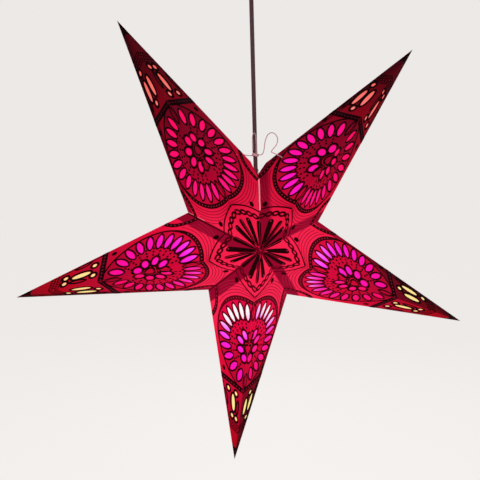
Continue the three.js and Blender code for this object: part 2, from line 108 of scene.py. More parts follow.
# Slots and ovals that are cut near the tip
SLOT = (26.0, 6.6, BLUNT)
OVAL = (6.0, 5.0, ROUND)
TIP_WINDOWS = {
    "half1": (((240.0, 11.0), (240.0, 23.0)), ((263.0, 17.0), (221.0, 20.5))),
    "half2": (((237.0, 16.0),), ((259.5, 7.0), (259.5, 15.5), (219.0, 12.5), (220.5, 28.5))),
}

# The print's lines: round the heart, round the rosette, along the valley, and across the arm
HEART = (
    (70.9, -6.0), (71.1, 2.0), (72.4, 14.5), (76.3, 28.0), (83.0, 40.5), (93.7, 52.2),
    (106.5, 60.0), (121.0, 64.3), (135.0, 64.6), (149.0, 62.0), (163.5, 56.2), (176.5, 48.0),
    (188.0, 38.0), (197.0, 26.8), (202.5, 15.8), (205.5, 6.0), (206.5, -6.0),
)
FRAME_LINE = ((62.3, -6.0), (61.8, 2.0), (59.6, 13.0), (55.3, 25.0), (49.3, 34.5), (40.5, 44.0))
CHAIN_PATH = ((52.4, -4.6), (51.4, 4.8), (49.2, 13.8), (44.9, 22.1), (39.3, 29.8), (33.2, 36.5))
VALLEY_BAND = ((83.0, 76.3), (94.0, 72.6), (107.0, 71.4), (118.0, 73.0), (129.0, 78.0))
CROSS_BAND = ((205.4, -4.0), (208.8, 52.0))
OUTER_HEART = (
    (129.4, -4.0), (128.6, 1.5), (130.6, 6.2), (134.6, 9.2), (139.2, 9.4), (143.8, 7.4),
    (148.0, 3.2), (151.5, -3.0),
)
INNER_HEART = (
    (133.0, -3.0), (132.2, 1.2), (133.8, 4.2), (137.0, 6.0), (140.6, 5.6), (144.0, 3.0),
    (146.6, -2.0),
)

# The fine lines round the lobes end where they meet the valley band: its start and lower edge
VALLEY_BAND_LOW = (80.0, 66.6)

# Length, width and ends of a link in the chain round the rosette
LINK = (7.6, 5.6, BLUNT)

# How far along the valley the points of the painted crease shade are, and where the line along
# the side edge and the four lines across the tip are along the ridge
# The crease shade is a thin dark line of painted shade in the valley's fold, not a printed line.
CREASE_SHADE = (40.0, 86.0, 132.0)
RIM = (212.0, 230.0, 248.0, 266.0)
RIM_INSET = 2.2
TIP_RULES = (267.3, 271.9, 276.5, 281.1)
LINE_WIDTHS = {
    "crease_shade": 0.9, "cross_band": 8.2, "frame": 2.2, "link": 2.7, "outer_heart": 2.0,
    "inner_heart": 2.7, "rim": 1.7, "tip_rule": 1.4,
}

# The band round the heart narrows to a line where its beads end
BEADS_END = {"half1": 108.0, "half2": 90.0}
BAND_NARROWS_OVER = 26.0

# Leaves that are outlined but not cut: place, angle, length and width
UNCUT_LEAVES = (
    (190.0, 0.8, 0.0, 24.0, 6.4), (85.0, 1.1, 0.0, 24.0, 6.8), (119.0, 1.4, 0.0, 15.0, 9.4),
)
UNCUT_TIP_LEAVES = {
    "half1": ((226.0, 33.0, -20.8, 15.0, 4.0),),
    "half2": ((240.0, 7.0, 0.0, 25.0, 4.6), (237.0, 31.0, -20.8, 23.0, 4.4)),
}

# The rosette at the star's centre: angle and half width of its rays, and the share of that
# half width at each distance from the centre
RAYS = ((0.0, 3.2), (18.6, 3.8), (42.1, 3.2))
RAY_SIDE = ((4.0, 0.25), (12.0, 0.58), (24.0, 0.84), (38.0, 1.0), (41.6, 0.9), (43.2, 0.5))
RAY_END = 43.6
ROSETTE_MIDDLE = 12.4

# Distance and angle of the bead on its middle ray, and how far the rays are turned because the
# print is off the ridge
ROSETTE_BEAD = (40.6, 19.0)
RAY_TURN = 2.0

# Solid shapes: drops by place, angle, length and width, dots in chains and in rows near the
# tip, and the black tip
DROPS = (((195.0, 44.3), (-20.8, 7.8, 5.8)), ((55.3, 36.7), (40.0, 8.0, 7.0)))
CHAIN_DOTS = (29.0, 34.2, 39.4)
CHAIN_DOT = (3.8, 2.9, BLUNT)
TIP_DOT_ROWS = (269.6, 274.2, 278.8)
TIP_DOT = 2.3
BLACK_TIP = ((307.0, -2.0), (331.0, -2.0), (331.0, 8.0), (304.0, 12.0), (308.5, 4.0))
CLEAR_OF_SIDE = 1.6

# Lines along a valley: page, kind, start, end and width. The valley shadow lines are painted
# shadow in the fold gap of two valleys on the left; the cut edges are the card's pale core
VALLEY_LINES = (
    ("upper_right_arm_half1", "cut_edge", 60.0, 116.0, 1.9),
    ("upper_left_arm_half1", "cut_edge", 98.0, 131.0, 0.8),
    ("left_arm_half2", "valley_shadow_line", 46.0, 131.0, 1.9),
    ("bottom_arm_half2", "valley_shadow_line", 46.0, 131.0, 1.9),
)

# A glued flap doubles the card along some valleys, where its shade ends more or less softly,
# and along the side edge of every first half: how softly its shade ends, and how much light
# comes through
FLAPS = {
    "upper_right_arm_half1": 0.0030, "upper_right_arm_half2": 0.0020, "right_arm_half2": 0.0012,
    "bottom_arm_half2": 0.0006, "left_arm_half2": 0.0005,
}
VALLEY_FLAP_LIGHT = 0.3
SIDE_FLAP_SOFTNESS = 0.0008
SIDE_FLAP_LIGHT = 0.34

# Pages whose lining glows more violet near the lamp, arms whose tips glow more yellow, and how
# far along a page the lining of its tip starts. The violet is painted light: the same tissue
# glows brighter and more violet on these pages because of how they are turned to the lamp
VIOLET_LININGS = (
    "upper_right_arm_half1", "right_arm_half1", "bottom_arm_half2", "left_arm_half2",
)
YELLOW_TIPS = ("right", "bottom", "left")
TIP_LINING_FROM = 0.2105

# Colour of the glowing paper by its distance from the lamp
LAMP_POINT = (0.0, 0.0, -0.389)
CARD_GLOW = (
    (0.050, (246, 36, 78)), (0.075, (248, 35, 77)), (0.090, (246, 32, 74)),
    (0.100, (240, 26, 68)), (0.112, (234, 18, 62)), (0.125, (226, 9, 56)),
    (0.145, (214, 5, 50)), (0.160, (206, 4, 48)), (0.190, (180, 4, 44)), (0.245, (174, 2, 22)),
    (0.285, (142, 2, 18)), (0.320, (122, 1, 12)),
)
FIELD_GLOW = (
    (0.060, (229, 6, 66)), (0.085, (224, 5, 62)), (0.112, (206, 3, 52)), (0.126, (202, 3, 50)),
    (0.155, (182, 2, 46)), (0.185, (168, 1, 42)), (0.220, (150, 1, 34)),
)
PETAL_GLOW = (
    (0.066, (253, 246, 255)), (0.073, (253, 192, 253)), (0.079, (254, 138, 250)),
    (0.086, (254, 78, 215)), (0.092, (254, 42, 178)), (0.102, (254, 33, 158)),
    (0.112, (254, 25, 146)), (0.126, (254, 20, 130)), (0.145, (254, 14, 117)),
    (0.170, (254, 11, 107)), (0.208, (254, 10, 99)),
)
VIOLET_PETAL_GLOW = (
    (0.066, (255, 255, 255)), (0.078, (255, 252, 255)), (0.083, (255, 212, 250)),
    (0.091, (255, 118, 253)), (0.098, (255, 76, 252)), (0.105, (254, 44, 234)),
    (0.113, (254, 28, 212)), (0.124, (254, 22, 198)), (0.136, (254, 18, 184)),
    (0.150, (254, 14, 168)), (0.167, (254, 12, 158)), (0.185, (253, 12, 140)),
    (0.208, (254, 12, 131)),
)
YELLOW_TIP_GLOW = (
    (0.180, (255, 240, 150)), (0.215, (255, 234, 150)), (0.240, (254, 226, 150)),
    (0.265, (252, 208, 140)),
)
SALMON_TIP_GLOW = ((0.225, (248, 138, 130)), (0.262, (251, 112, 100)), (0.285, (250, 104, 94)))
BEAD_GLOW = (
    (0.050, (150, 50, 64)), (0.110, (146, 38, 56)), (0.160, (122, 22, 42)),
    (0.220, (92, 9, 26)), (0.300, (64, 4, 14)),
)
INK_GLOW = (
    (0.066, (96, 0, 18)), (0.085, (70, 0, 10)), (0.100, (48, 0, 4)), (0.115, (34, 0, 3)),
    (0.220, (14, 0, 2)), (0.320, (6, 0, 1)),
)
SOLID_INK_GLOW = (
    (0.066, (50, 0, 8)), (0.085, (30, 0, 3)), (0.115, (22, 0, 2)), (0.220, (10, 0, 1)),
    (0.320, (6, 0, 1)),
)
EDGE_GLOW = ((0.098, (150, 38, 62)), (0.112, (174, 54, 76)), (0.126, (212, 88, 106)))

# Share of the light that reaches the far part of two pages that fold away from the lamp, and
# between which distances along the page the light falls to it
FAR_LIGHT = {"right_arm_half1": 0.26, "bottom_arm_half1": 0.3}
FAR_PART = (0.166, 0.198)

# Above the lamp its holder keeps some light from the paper: how high that starts and ends, and
# how much light is left there
HOLDER_SHADE = (-0.335, -0.150, 0.22)

# Strength of the room's light, and name, place, power and size of each studio light
WORLD_STRENGTH = 0.8
STUDIO_LIGHTS = (
    ("key", (-1.3, -1.7, 0.7), 20.0, 1.4),
    ("fill", (1.7, -1.3, -0.1), 11.0, 1.6),
    ("back", (0.4, 1.9, 0.6), 14.0, 1.6),
)


def linear(rgb):
    """A colour written as a screen shows it, 0 to 255, as the numbers that a shader takes."""
    scaled = [c / 255 for c in rgb]
    return tuple(c / 12.92 if c <= 0.04045 else ((c + 0.055) / 1.055) ** 2.4 for c in scaled)


def measure(name, description, default, least):
    """A size that a user can change, in metres."""
    return FloatProperty(
        name=name, description=description, default=default, min=least, unit="LENGTH")


def paint(name, description, rgb):
    """A colour that a user can change, written as a screen shows it."""
    return FloatVectorProperty(
        name=name, description=description, default=linear(rgb), min=0.0, max=1.0,
        subtype="COLOR")


class StarSizes(bpy.types.PropertyGroup):
    """Sizes of the folded star."""

    tip_radius: measure("Tip radius", "From the middle of the star to a tip", 0.315, 0.05)
    valley_radius: measure(
        "Valley radius", "From the middle of the star to an inner corner", 0.090, 0.02)
    half_depth: measure("Half depth", "From the middle plane to the front centre", 0.096, 0.01)
    roll: FloatProperty(
        name="Roll", description="How far the star leans about its front-to-back line",
        default=math.radians(5.1), subtype="ANGLE")
    centre: FloatVectorProperty(
        name="Centre", description="Middle of the star",
        default=(-0.001498, 0.0, -0.353463), subtype="TRANSLATION", unit="LENGTH")
    card_thickness: measure("Card thickness", "Thickness of the printed card", 0.0005, 0.0001)
    tissue_depth: measure(
        "Tissue depth", "From the card's outer face to the tissue", 0.0008, 0.0005)
    tissue_thickness: measure(
        "Tissue thickness", "Thickness of the tissue lining", 0.0002, 0.00005)
    flap_width: measure(
        "Valley flap width", "Width of the glued flap along a valley", 0.015, 0.001)
    side_flap_width: measure(
        "Side flap width", "Width of the glued flap along a side edge", 0.009, 0.001)


class PrintSizes(bpy.types.PropertyGroup):
    """Line widths and bead sizes of the printed pattern."""

    heart_line: measure("Heart line", "Width of the line round the heart", 0.0027, 0.0002)
    beaded_band: measure("Beaded band", "Width of the bands that hold the beads", 0.0058, 0.001)
    petal_line: measure("Petal line", "Width of the line round each cut window", 0.0024, 0.0002)
    contour_line: measure(
        "Contour line", "Width of the fine lines round the lobes", 0.0011, 0.0001)
    bead_size: measure("Bead size", "Diameter of a printed bead", 0.0019, 0.0002)
    bead_spacing: measure("Bead spacing", "Distance between bead middles", 0.0057, 0.001)
    contour_count: IntProperty(
        name="Contour lines", description="Number of fine lines round each lobe",
        default=5, min=0, max=12)


class LanternColours(bpy.types.PropertyGroup):
    """Colours of the lantern's own surfaces, before its lamp is lit."""

    card: paint("Card", "Unlit printed card", (44, 2, 11))
    heart_field: paint("Heart field", "Unlit darker red inside the heart", (36, 1, 12))
    ink: paint("Ink", "Black printed line", (7, 2, 3))
    tissue: paint("Tissue", "Unlit tissue lining", (46, 3, 16))
    cut_edge: paint("Cut edge", "Pale core of the card where it is cut", (226, 132, 140))
    string: paint("String", "Tie string", (206, 160, 164))
    cord: paint("Cord", "Pendant cord", (60, 14, 26))
    moulding: paint("Moulding", "White moulded parts", (240, 237, 230))
    backdrop: paint("Backdrop", "Floor and surroundings", (236, 233, 231))


# Flat shapes, in millimetres on a card


def smooth(points, steps=4):
    """A curve through the points, with that many steps between each two."""
    ends = [points[0], *points, points[-1]]
    made = []
    for a, b, c, d in zip(ends, ends[1:], ends[2:], ends[3:]):
        for i in range(steps):
            t = i / steps
            made.append(tuple(
                0.5 * (2 * q + (r - p) * t + (2 * p - 5 * q + 4 * r - s) * t * t
                       + (3 * q - p - 3 * r + s) * t ** 3)
                for p, q, r, s in zip(a, b, c, d)))
    made.append(tuple(points[-1]))
    return made


def spaced(points, spacing, start):
    """Places at equal distances along a line, each with its direction in degrees."""
    found = []
    wanted = start
    walked = 0.0
    for (u0, v0), (u1, v1) in zip(points, points[1:]):
        length = math.hypot(u1 - u0, v1 - v0)
        while length > 0 and wanted <= walked + length:
            t = (wanted - walked) / length
            angle = math.degrees(math.atan2(v1 - v0, u1 - u0))
            found.append((u0 + t * (u1 - u0), v0 + t * (v1 - v0), angle))
            wanted += spacing
        walked += length
    return found


def beside(points, gap):
    """A line to the left of another. The gap depends on how far along it a point is, 0 to 1."""
    made = []
    for i, (u, v) in enumerate(points):
        u0, v0 = points[max(i - 1, 0)]
        u1, v1 = points[min(i + 1, len(points) - 1)]
        step = math.hypot(u1 - u0, v1 - v0) or 1.0
        distance = gap(i / (len(points) - 1))
        made.append((u - (v1 - v0) / step * distance, v + (u1 - u0) / step * distance))
    return made


def petal(u, v, angle, length, width, point=POINTED, count=10):
    """A closed leaf shape: 1 is an ellipse, more than 1 has pointed ends, and less is blunt."""
    cos, sin = math.cos(math.radians(angle)), math.sin(math.radians(angle))
    made = []
    for i in range(2 * count):
        t = math.pi * i / count
        side = abs(math.sin(t)) ** point * (1 if t < math.pi else -1)
        along, across = 0.5 * length * math.cos(t), 0.5 * width * side
        made.append((u + along * cos - across * sin, v + along * sin + across * cos))
    return made


def disc(u, v, diameter, count=8):
    """A round shape with that many corners."""
    return petal(u, v, 0.0, diameter, diameter, ROUND, count // 2)


def side_edge(u):
    """How far the card reaches from the ridge at that u, beyond the valley corner."""
    (tip_u, _), (corner_u, corner_v) = CARD_OUTER[1], CARD_OUTER[2]
    return corner_v * (tip_u - u) / (tip_u - corner_u)


def shifted(points, half):
    """Points of the print where they lie on one half."""
    return [(u, v + PRINT_SHIFT[half]) for u, v in points]


def smooth_on(points, half):
    """A smooth line of the print, where it lies on one half."""
    return shifted(smooth(points), half)


def ring_petals(half):
    """Place, angle, length, width and ends of each petal round the heart's middle."""
    *inner_petal, inner_shift = INNER_PETALS[half]
    rings = (
        (*OUTER_RING, OUTER_PETAL, PRINT_SHIFT[half], RING_CROWDING[half]),
        (*INNER_RING, inner_petal, inner_shift, 0.0),
    )
    made = []
    for count, radius, first, last, shape, shift, crowding in rings:
        for i in range(count):
            angle = first + (last - first) * i / (count - 1)
            angle += crowding * math.sin(math.pi * i / (count - 1))
            u = HEART_CENTRE + radius * math.cos(math.radians(angle))
            v = max(radius * math.sin(math.radians(angle)) + shift, LEAST_FROM_RIDGE)
            made.append((u, v, angle, *shape))
    return made


def tip_windows(half):
    """Slots and ovals near the tip of one half, as for the petals."""
    tip_u = CARD_OUTER[1][0]
    made = []
    for places, shape in zip(TIP_WINDOWS[half], (SLOT, OVAL)):
        for u, v in places:
            angle = -math.degrees(math.atan2(v, tip_u - u))
            made.append((u, v, angle, *shape))
    return made


def windows(half):
    """Every window that is cut in one half."""
    return ring_petals(half) + tip_windows(half)


def clipped(corners):
    """The card's outline with room for the cord at the tied seam."""
    centre, tip, valley = (Vector(c) for c in corners)
    along_side = valley + (tip - valley).normalized() * OUTLET_ALONG_SIDE
    along_valley = valley + (centre - valley).normalized() * OUTLET_ALONG_VALLEY
    return [tuple(centre), tuple(tip), tuple(along_side), tuple(along_valley)]


# Meshes


def only(*objects):
    """Select these objects alone, the first one active."""
    bpy.ops.object.select_all(action="DESELECT")
    for o in objects:
        o.select_set(True)
    bpy.context.view_layer.objects.active = objects[0]


def remove(*objects):
    """Delete shapes that were only there to be copied or followed."""
    for o in objects:
        bpy.data.objects.remove(o)


def start_editing(made):
    """Enter edit mode with everything selected."""
    only(made)
    bpy.ops.object.mode_set(mode="EDIT")
    bpy.ops.mesh.select_all(action="SELECT")


def end_editing():
    """Turn every face outwards and leave edit mode."""
    bpy.ops.mesh.select_all(action="SELECT")
    bpy.ops.mesh.normals_make_consistent(inside=False)
    bpy.ops.object.mode_set(mode="OBJECT")


def new_curve(name, flat=True):
    """A curve object without lines yet, and its data."""
    curve = bpy.data.curves.new(name, "CURVE")
    curve.dimensions = "2D" if flat else "3D"
    made = bpy.data.objects.new(name, curve)
    bpy.context.scene.collection.objects.link(made)
    return made, curve


def add_line(curve, points, closed=False, widths=None):
    """A line of straight steps through flat or solid points, each with its own width."""
    spline = curve.splines.new("POLY")
    spline.points.add(len(points) - 1)
    for i, (knot, point) in enumerate(zip(spline.points, points)):
        knot.co = (*point, 0.0, 1.0) if len(point) == 2 else (*point, 1.0)
        if widths:
            knot.radius = widths[i]
    spline.use_cyclic_u = closed


def as_mesh(made):
    """Turn a curve into a closed mesh, still in its own millimetres."""
    only(made)
    bpy.ops.object.convert(target="MESH")
    start_editing(made)
    bpy.ops.mesh.remove_doubles(threshold=0.0005)
    end_editing()
    return made


def flat_sheet(name, outlines, low, high):
    """A flat sheet between two heights. The first outline goes round the ones cut from it."""
    made, curve = new_curve(name)
    curve.fill_mode = "BOTH"
    curve.extrude = (high - low) / 2
    for points in outlines:
        add_line(curve, points, closed=True)
    as_mesh(made)
    made.data.transform(Matrix.Translation((0.0, 0.0, (low + high) / 2)))
    return made


def flat_lines(name, lines):
    """Printed lines as flat bars. Each line is its points, its width or widths, and closed."""
    bar, profile = new_curve(name + "_bar")
    half, rise = 0.5, LINE_HEIGHT / 2
    add_line(profile, ((-half, -rise), (half, -rise), (half, rise), (-half, rise)), closed=True)
    made, curve = new_curve(name)
    curve.bevel_mode = "OBJECT"
    curve.bevel_object = bar
    curve.use_fill_caps = True
    for points, width, closed in lines:
        widths = width if isinstance(width, (list, tuple)) else [width] * len(points)
        add_line(curve, points, closed, widths)
    as_mesh(made)
    remove(bar)
    return made


def trimmed(made):
    """Cut a flat piece back to just inside the card's ridge, valley and side edge."""
    tip_u = CARD_OUTER[1][0]
    corner = Vector((*CARD_OUTER[2], 0.0))
    start, tip = Vector((0.0, 0.0, 0.0)), Vector((tip_u, 0.0, 0.0))
    past_valley = Vector((-corner.y, corner.x, 0.0)).normalized()
    past_side = Vector((corner.y, tip_u - corner.x, 0.0)).normalized()
    edges = ((start, Vector((0.0, -1.0, 0.0))), (start, past_valley), (tip, past_side))
    start_editing(made)
    for point, outwards in edges:
        bpy.ops.mesh.select_all(action="SELECT")
        bpy.ops.mesh.bisect(
            plane_co=point - outwards * PRINT_MARGIN, plane_no=outwards, use_fill=True,
            clear_outer=True)
    end_editing()
    return made


def joined(name, pieces, materials):
    """One object from several, each with its own material."""
    for piece, material in zip(pieces, materials):
        piece.data.materials.clear()
        piece.data.materials.append(material)
    only(*pieces)
    bpy.ops.object.join()
    made = pieces[0]
    made.name = made.data.name = name
    return made


def add_card_map(made):
    """A map that holds each point's u and v on the card, in metres."""
    layer = made.data.uv_layers.new(name="card")
    for loop in made.data.loops:
        point = made.data.vertices[loop.vertex_index].co
        layer.data[loop.index].uv = (point.x * MM, point.y * MM)


def card_places(sizes):
    """Half arm, face, half and placement matrix of each of the twenty cards."""
    to_row = Matrix.Translation(sizes.centre) @ Matrix.Rotation(sizes.roll, 4, "Y")
    made = []
    for index in range(10):
        arm, second = divmod(index, 2)
        tip_angle = math.radians(FIRST_TIP_ANGLE - BETWEEN_TIPS * arm)
        to_valley = -BETWEEN_TIPS / 2 if second else BETWEEN_TIPS / 2
        valley_angle = tip_angle + math.radians(to_valley)
        tip = Vector((math.cos(tip_angle), 0.0, math.sin(tip_angle))) * sizes.tip_radius
        valley = Vector((math.cos(valley_angle), 0.0, math.sin(valley_angle)))
        valley *= sizes.valley_radius
        half = "half2" if second else "half1"
        for face, side in (("front", -1), ("back", 1)):
            centre = Vector((0.0, side * sizes.half_depth, 0.0))
            u = (tip - centre).normalized()
            across = valley - centre
            v = (across - u * across.dot(u)).normalized()
            out = u.cross(v)
            if out.y * side < 0:
                out.negate()
            basis = Matrix((u, v, out)).transposed().to_4x4()
            place = to_row @ Matrix.Translation(centre) @ basis @ TO_METRES
            made.append((f"{ARMS[arm]}_arm_{half}", face, half, place))
    return made


def places_by_card(sizes):
    """The placement matrix of each card, by its half arm and face."""
    return {f"{name}_{face}": place for name, face, _, place in card_places(sizes)}


def copy_to(template, name, place):
    """A copy of a shape with its own mesh, put in place and turned the right way out."""
    made = template.copy()
    made.data = template.data.copy()
    made.name = made.data.name = name
    bpy.context.scene.collection.objects.link(made)
    made.data.transform(place)
    if place.determinant() < 0:
        made.data.flip_normals()
    made.data.update()
    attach(made, "star")
    return made


def turned(name, profile, sides=96, closed=True):
    """A turned piece, drawn ring by ring from its profile of radius and height."""
    rings = [(max(radius, 0.0001), height) for radius, height in profile]
    if closed:
        rings.append(rings[0])
    bpy.ops.object.select_all(action="DESELECT")
    bpy.ops.mesh.primitive_circle_add(
        vertices=sides, radius=rings[0][0], location=(0.0, 0.0, rings[0][1]))
    made = bpy.context.object
    made.name = made.data.name = name
    bpy.ops.object.transform_apply(location=True, rotation=False, scale=False)
    start_editing(made)
    for (last_radius, last_height), (radius, height) in zip(rings, rings[1:]):
        bpy.ops.mesh.extrude_region_move(
            TRANSFORM_OT_translate={"value": (0.0, 0.0, height - last_height)})
        scale = radius / last_radius
        bpy.ops.transform.resize(value=(scale, scale, 1.0), center_override=(0.0, 0.0, height))
    bpy.ops.mesh.select_all(action="SELECT")
    bpy.ops.mesh.remove_doubles(threshold=0.004)
    end_editing()
    return made


def arc(centre_r, centre_z, radius, start, end, steps):
    """Points of an arc in a profile, from one angle to another in degrees."""
    made = []
    for i in range(steps + 1):
        angle = math.radians(start + (end - start) * i / steps)
        made.append((centre_r + radius * math.cos(angle), centre_z + radius * math.sin(angle)))
    return made


def round_bar(name, points, radius, resolution=3):
    """A curve along solid points, with a round section and closed ends."""
    made, curve = new_curve(name, flat=False)
    curve.bevel_depth = radius
    curve.bevel_resolution = resolution
    curve.use_fill_caps = True
    add_line(curve, points)
    return made


def settle(made, place, material, body, slot, *nodes, angle=30):
    """Put a finished piece in place, give it its material, and let it ride on its body."""
    made.data.transform(place)
    made.data.materials.clear()
    made.data.materials.append(material)
    only(made)
    bpy.ops.object.shade_smooth_by_angle(angle=math.radians(angle))
    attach(made, body)
    if nodes:
        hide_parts(*nodes)


def assign(material, *nodes):
    """Give the objects of some CAD nodes a better material."""
    for node in nodes:
        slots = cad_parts[node].data.materials
        slots.clear()
        slots.append(material)


# Materials


def connect(tree, node, inputs):
    """Set a node's inputs: a socket is linked, and anything else is the input's own value."""
    for key, value in inputs.items():
        if isinstance(value, bpy.types.NodeSocket):
            tree.links.new(value, node.inputs[key])
        else:
            node.inputs[key].default_value = value


def add_node(tree, kind, inputs=None, **settings):
    """A shader node with its inputs and its own settings."""
    node = tree.nodes.new(kind)
    for key, value in settings.items():
        setattr(node, key, value)
    connect(tree, node, inputs or {})
    return node


def math_node(tree, operation, first, second):
    """A sum, a product or the like of two sockets or numbers."""
    return add_node(tree, "ShaderNodeMath", {0: first, 1: second}, operation=operation).outputs[0]


def vector_math(tree, operation, inputs, output="Vector"):
    """The same for vectors and colours."""
    node = add_node(tree, "ShaderNodeVectorMath", inputs, operation=operation)
    return node.outputs[output]


def map_range(tree, value, start, end, low, high):
    """A number that goes from low to high while the value goes from start to end."""
    fit = add_node(tree, "ShaderNodeMapRange", {
        "Value": value, "From Min": start, "From Max": end, "To Min": low, "To Max": high})
    return fit.outputs["Result"]


def new_material(name, colour, roughness, metallic=0.0, specular=0.5):
    """A plain material, with its node tree and its shader."""
    material = bpy.data.materials.new(name)
    material.use_nodes = True
    material.diffuse_color = (*colour, 1.0)
    tree = material.node_tree
    shader = tree.nodes["Principled BSDF"]
    connect(tree, shader, {
        "Base Color": (*colour, 1.0), "Roughness": roughness, "Metallic": metallic,
        "Specular IOR Level": specular})
    return material, tree, shader


def object_point(tree):
    """Object coordinates, in metres."""
    return add_node(tree, "ShaderNodeTexCoord").outputs["Object"]


def mapped_point(tree, **mapping):
    """Object coordinates, stretched or turned for streaks, fibres and strands."""
    inputs = {"Vector": object_point(tree), **mapping}
    return add_node(tree, "ShaderNodeMapping", inputs).outputs["Vector"]


def one_axis(tree, vector, axis):
    """The X, the Y or the Z of a vector."""
    return add_node(tree, "ShaderNodeSeparateXYZ", {"Vector": vector}).outputs[axis]


def grain(tree, scale, low, high, stretch=(1.0, 1.0, 1.0)):
    """Noise in a narrow range, about one, that varies a colour or a height."""
    noise = add_node(tree, "ShaderNodeTexNoise", {
        "Vector": mapped_point(tree, Scale=stretch), "Scale": scale, "Detail": 4.0})
    return map_range(tree, noise.outputs[0], 0.3, 0.7, low, high)


def scaled_colour(tree, colour, amount):
    """A colour, or a socket's colour, made brighter or darker by a socket's value."""
    return vector_math(tree, "SCALE", {0: colour, "Scale": amount})


def add_bump(tree, shader, height, distance, strength):
    """A relief in the surface, from a height between 0 and 1."""
    node = add_node(tree, "ShaderNodeBump", {
        "Height": height, "Distance": distance, "Strength": strength})
    connect(tree, shader, {"Normal": node.outputs["Normal"]})


def add_tooth(tree, shader, scale, distance, strength, stretch=(1.0, 1.0, 1.0)):
    """A fine, uneven relief."""
    add_bump(tree, shader, grain(tree, scale, 0.0, 1.0, stretch), distance, strength)


def add_tone(tree, shader, colour, amount):
    """The surface's own colour, made brighter or darker from place to place."""
    connect(tree, shader, {"Base Color": scaled_colour(tree, colour, amount)})


def add_glow(tree, shader, colour, strength=1.0):
    """Light that comes through or from the surface."""
    connect(tree, shader, {"Emission Color": colour, "Emission Strength": strength})


def lamp_glow(tree, table):
    """The colour that the lamp's light gives the paper, by distance from the lamp."""
    away = vector_math(tree, "DISTANCE", {0: object_point(tree), 1: LAMP_POINT}, "Value")
    near, far = table[0][0], table[-1][0]
    ramp = add_node(tree, "ShaderNodeValToRGB", {
        "Fac": map_range(tree, away, near, far, 0.0, 1.0)})
    stops = ramp.color_ramp.elements
    while len(stops) < len(table):
        stops.new(0.5)
    for stop, (distance, rgb) in zip(stops, table):
        stop.position = (distance - near) / (far - near)
        stop.color = (*linear(rgb), 1.0)
    return ramp.outputs["Color"]


def card_coordinate(tree, axis):
    """The u, as X, or the v, as Y, of a point on its card, in metres."""
    here = add_node(tree, "ShaderNodeUVMap", uv_map="card")
    return one_axis(tree, here.outputs["UV"], axis)


def distance_from(tree, start, end):
    """How far a point of a card lies inside the edge between two of its corners, in metres."""
    edge = Vector(end) - Vector(start)
    inwards = Vector((edge.y, -edge.x)).normalized()
    across_u = math_node(tree, "MULTIPLY", card_coordinate(tree, "X"), inwards.x)
    across_v = math_node(tree, "MULTIPLY", card_coordinate(tree, "Y"), inwards.y)
    total = math_node(tree, "ADD", across_u, across_v)
    return math_node(tree, "SUBTRACT", total, inwards.dot(Vector(start)) * MM)


def holder_shade(tree):
    """Less light on the paper above the lamp, where its holder stands in the way."""
    start, end, light_left = HOLDER_SHADE
    height = one_axis(tree, object_point(tree), "Z")
    return map_range(tree, height, start, end, 1.0, light_left)


def doubled_paper(tree, colour, share):
    """The colour of light after a second layer of the red card, which takes green out most."""
    green = math_node(tree, "POWER", share, 2.2)
    filtered = add_node(tree, "ShaderNodeCombineXYZ", {"X": share, "Y": green, "Z": share})
    return vector_math(tree, "MULTIPLY", {0: colour, 1: filtered.outputs["Vector"]})


def lit_paper(
        name, colour, table, gain=1.0, valley_flap=None, side_flap=None, far_light=None):
    """Paper that glows from the lamp behind it, with fibres and a little tooth.

    A glued flap doubles it along an edge: its width, how softly its shade ends, and how much
    light comes through it.
    """
    material, tree, shader = new_material(name, colour, roughness=0.8, specular=0.02)
    fibres = grain(tree, 420.0, 0.93, 1.06, stretch=(1.0, 1.0, 3.0))
    amount = math_node(tree, "MULTIPLY", fibres, gain)
    amount = math_node(tree, "MULTIPLY", amount, holder_shade(tree))
    if far_light:
        shade = map_range(tree, card_coordinate(tree, "X"), *FAR_PART, 1.0, far_light)
        amount = math_node(tree, "MULTIPLY", amount, shade)
    glow = scaled_colour(tree, lamp_glow(tree, table), amount)
    centre, tip, corner = CARD_OUTER
    for flap, start, end in ((valley_flap, centre, corner), (side_flap, corner, tip)):
        if flap:
            width, softness, light_left = flap
            from_edge = distance_from(tree, start, end)
            share = map_range(
                tree, from_edge, width - softness, width + softness, light_left, 1.0)
            glow = doubled_paper(tree, glow, share)
    add_glow(tree, shader, glow)
    add_tone(tree, shader, colour, grain(tree, 160.0, 0.85, 1.12))
    add_tooth(tree, shader, 1500.0, distance=0.00012, strength=0.35)
    return material


def tissue_material(name, colours, petal_table, tip_table):
    """Tissue lining: pink behind the petals, warm near the tips, with soft creases."""
    material, tree, shader = new_material(
        name, colours.tissue[:], roughness=0.85, specular=0.02)
    past_band = math_node(tree, "GREATER_THAN", card_coordinate(tree, "X"), TIP_LINING_FROM)
    petal_glow, tip_glow = lamp_glow(tree, petal_table), lamp_glow(tree, tip_table)
    mix = add_node(
        tree, "ShaderNodeMix", {"Factor": past_band, 6: petal_glow, 7: tip_glow},
        data_type="RGBA")
    creases = grain(tree, 260.0, 0.9, 1.05, stretch=(1.0, 1.0, 2.2))
    add_glow(tree, shader, scaled_colour(tree, mix.outputs[2], creases))
    add_tooth(tree, shader, 700.0, distance=0.0002, strength=0.4)
    return material


def ink_material(name, colours, table):
    """Black ink, through which a little of the lamp's light still comes."""
    colour = colours.ink[:]
    material, tree, shader = new_material(name, colour, roughness=0.8, specular=0.01)
    add_glow(tree, shader, lamp_glow(tree, table))
    add_tone(tree, shader, colour, grain(tree, 300.0, 0.7, 1.3))
    add_tooth(tree, shader, 2000.0, distance=0.00005, strength=0.3)
    return material


def strands(tree, direction, scale, distortion=0.0, lean=0.0):
    """The relief of strands that lie side by side, 0 in the furrows and 1 on top."""
    place = mapped_point(tree, Rotation=(lean, lean, 0.0))
    wave = add_node(
        tree, "ShaderNodeTexWave", {"Vector": place, "Scale": scale, "Distortion": distortion},
        bands_direction=direction)
    return wave.outputs["Fac"]


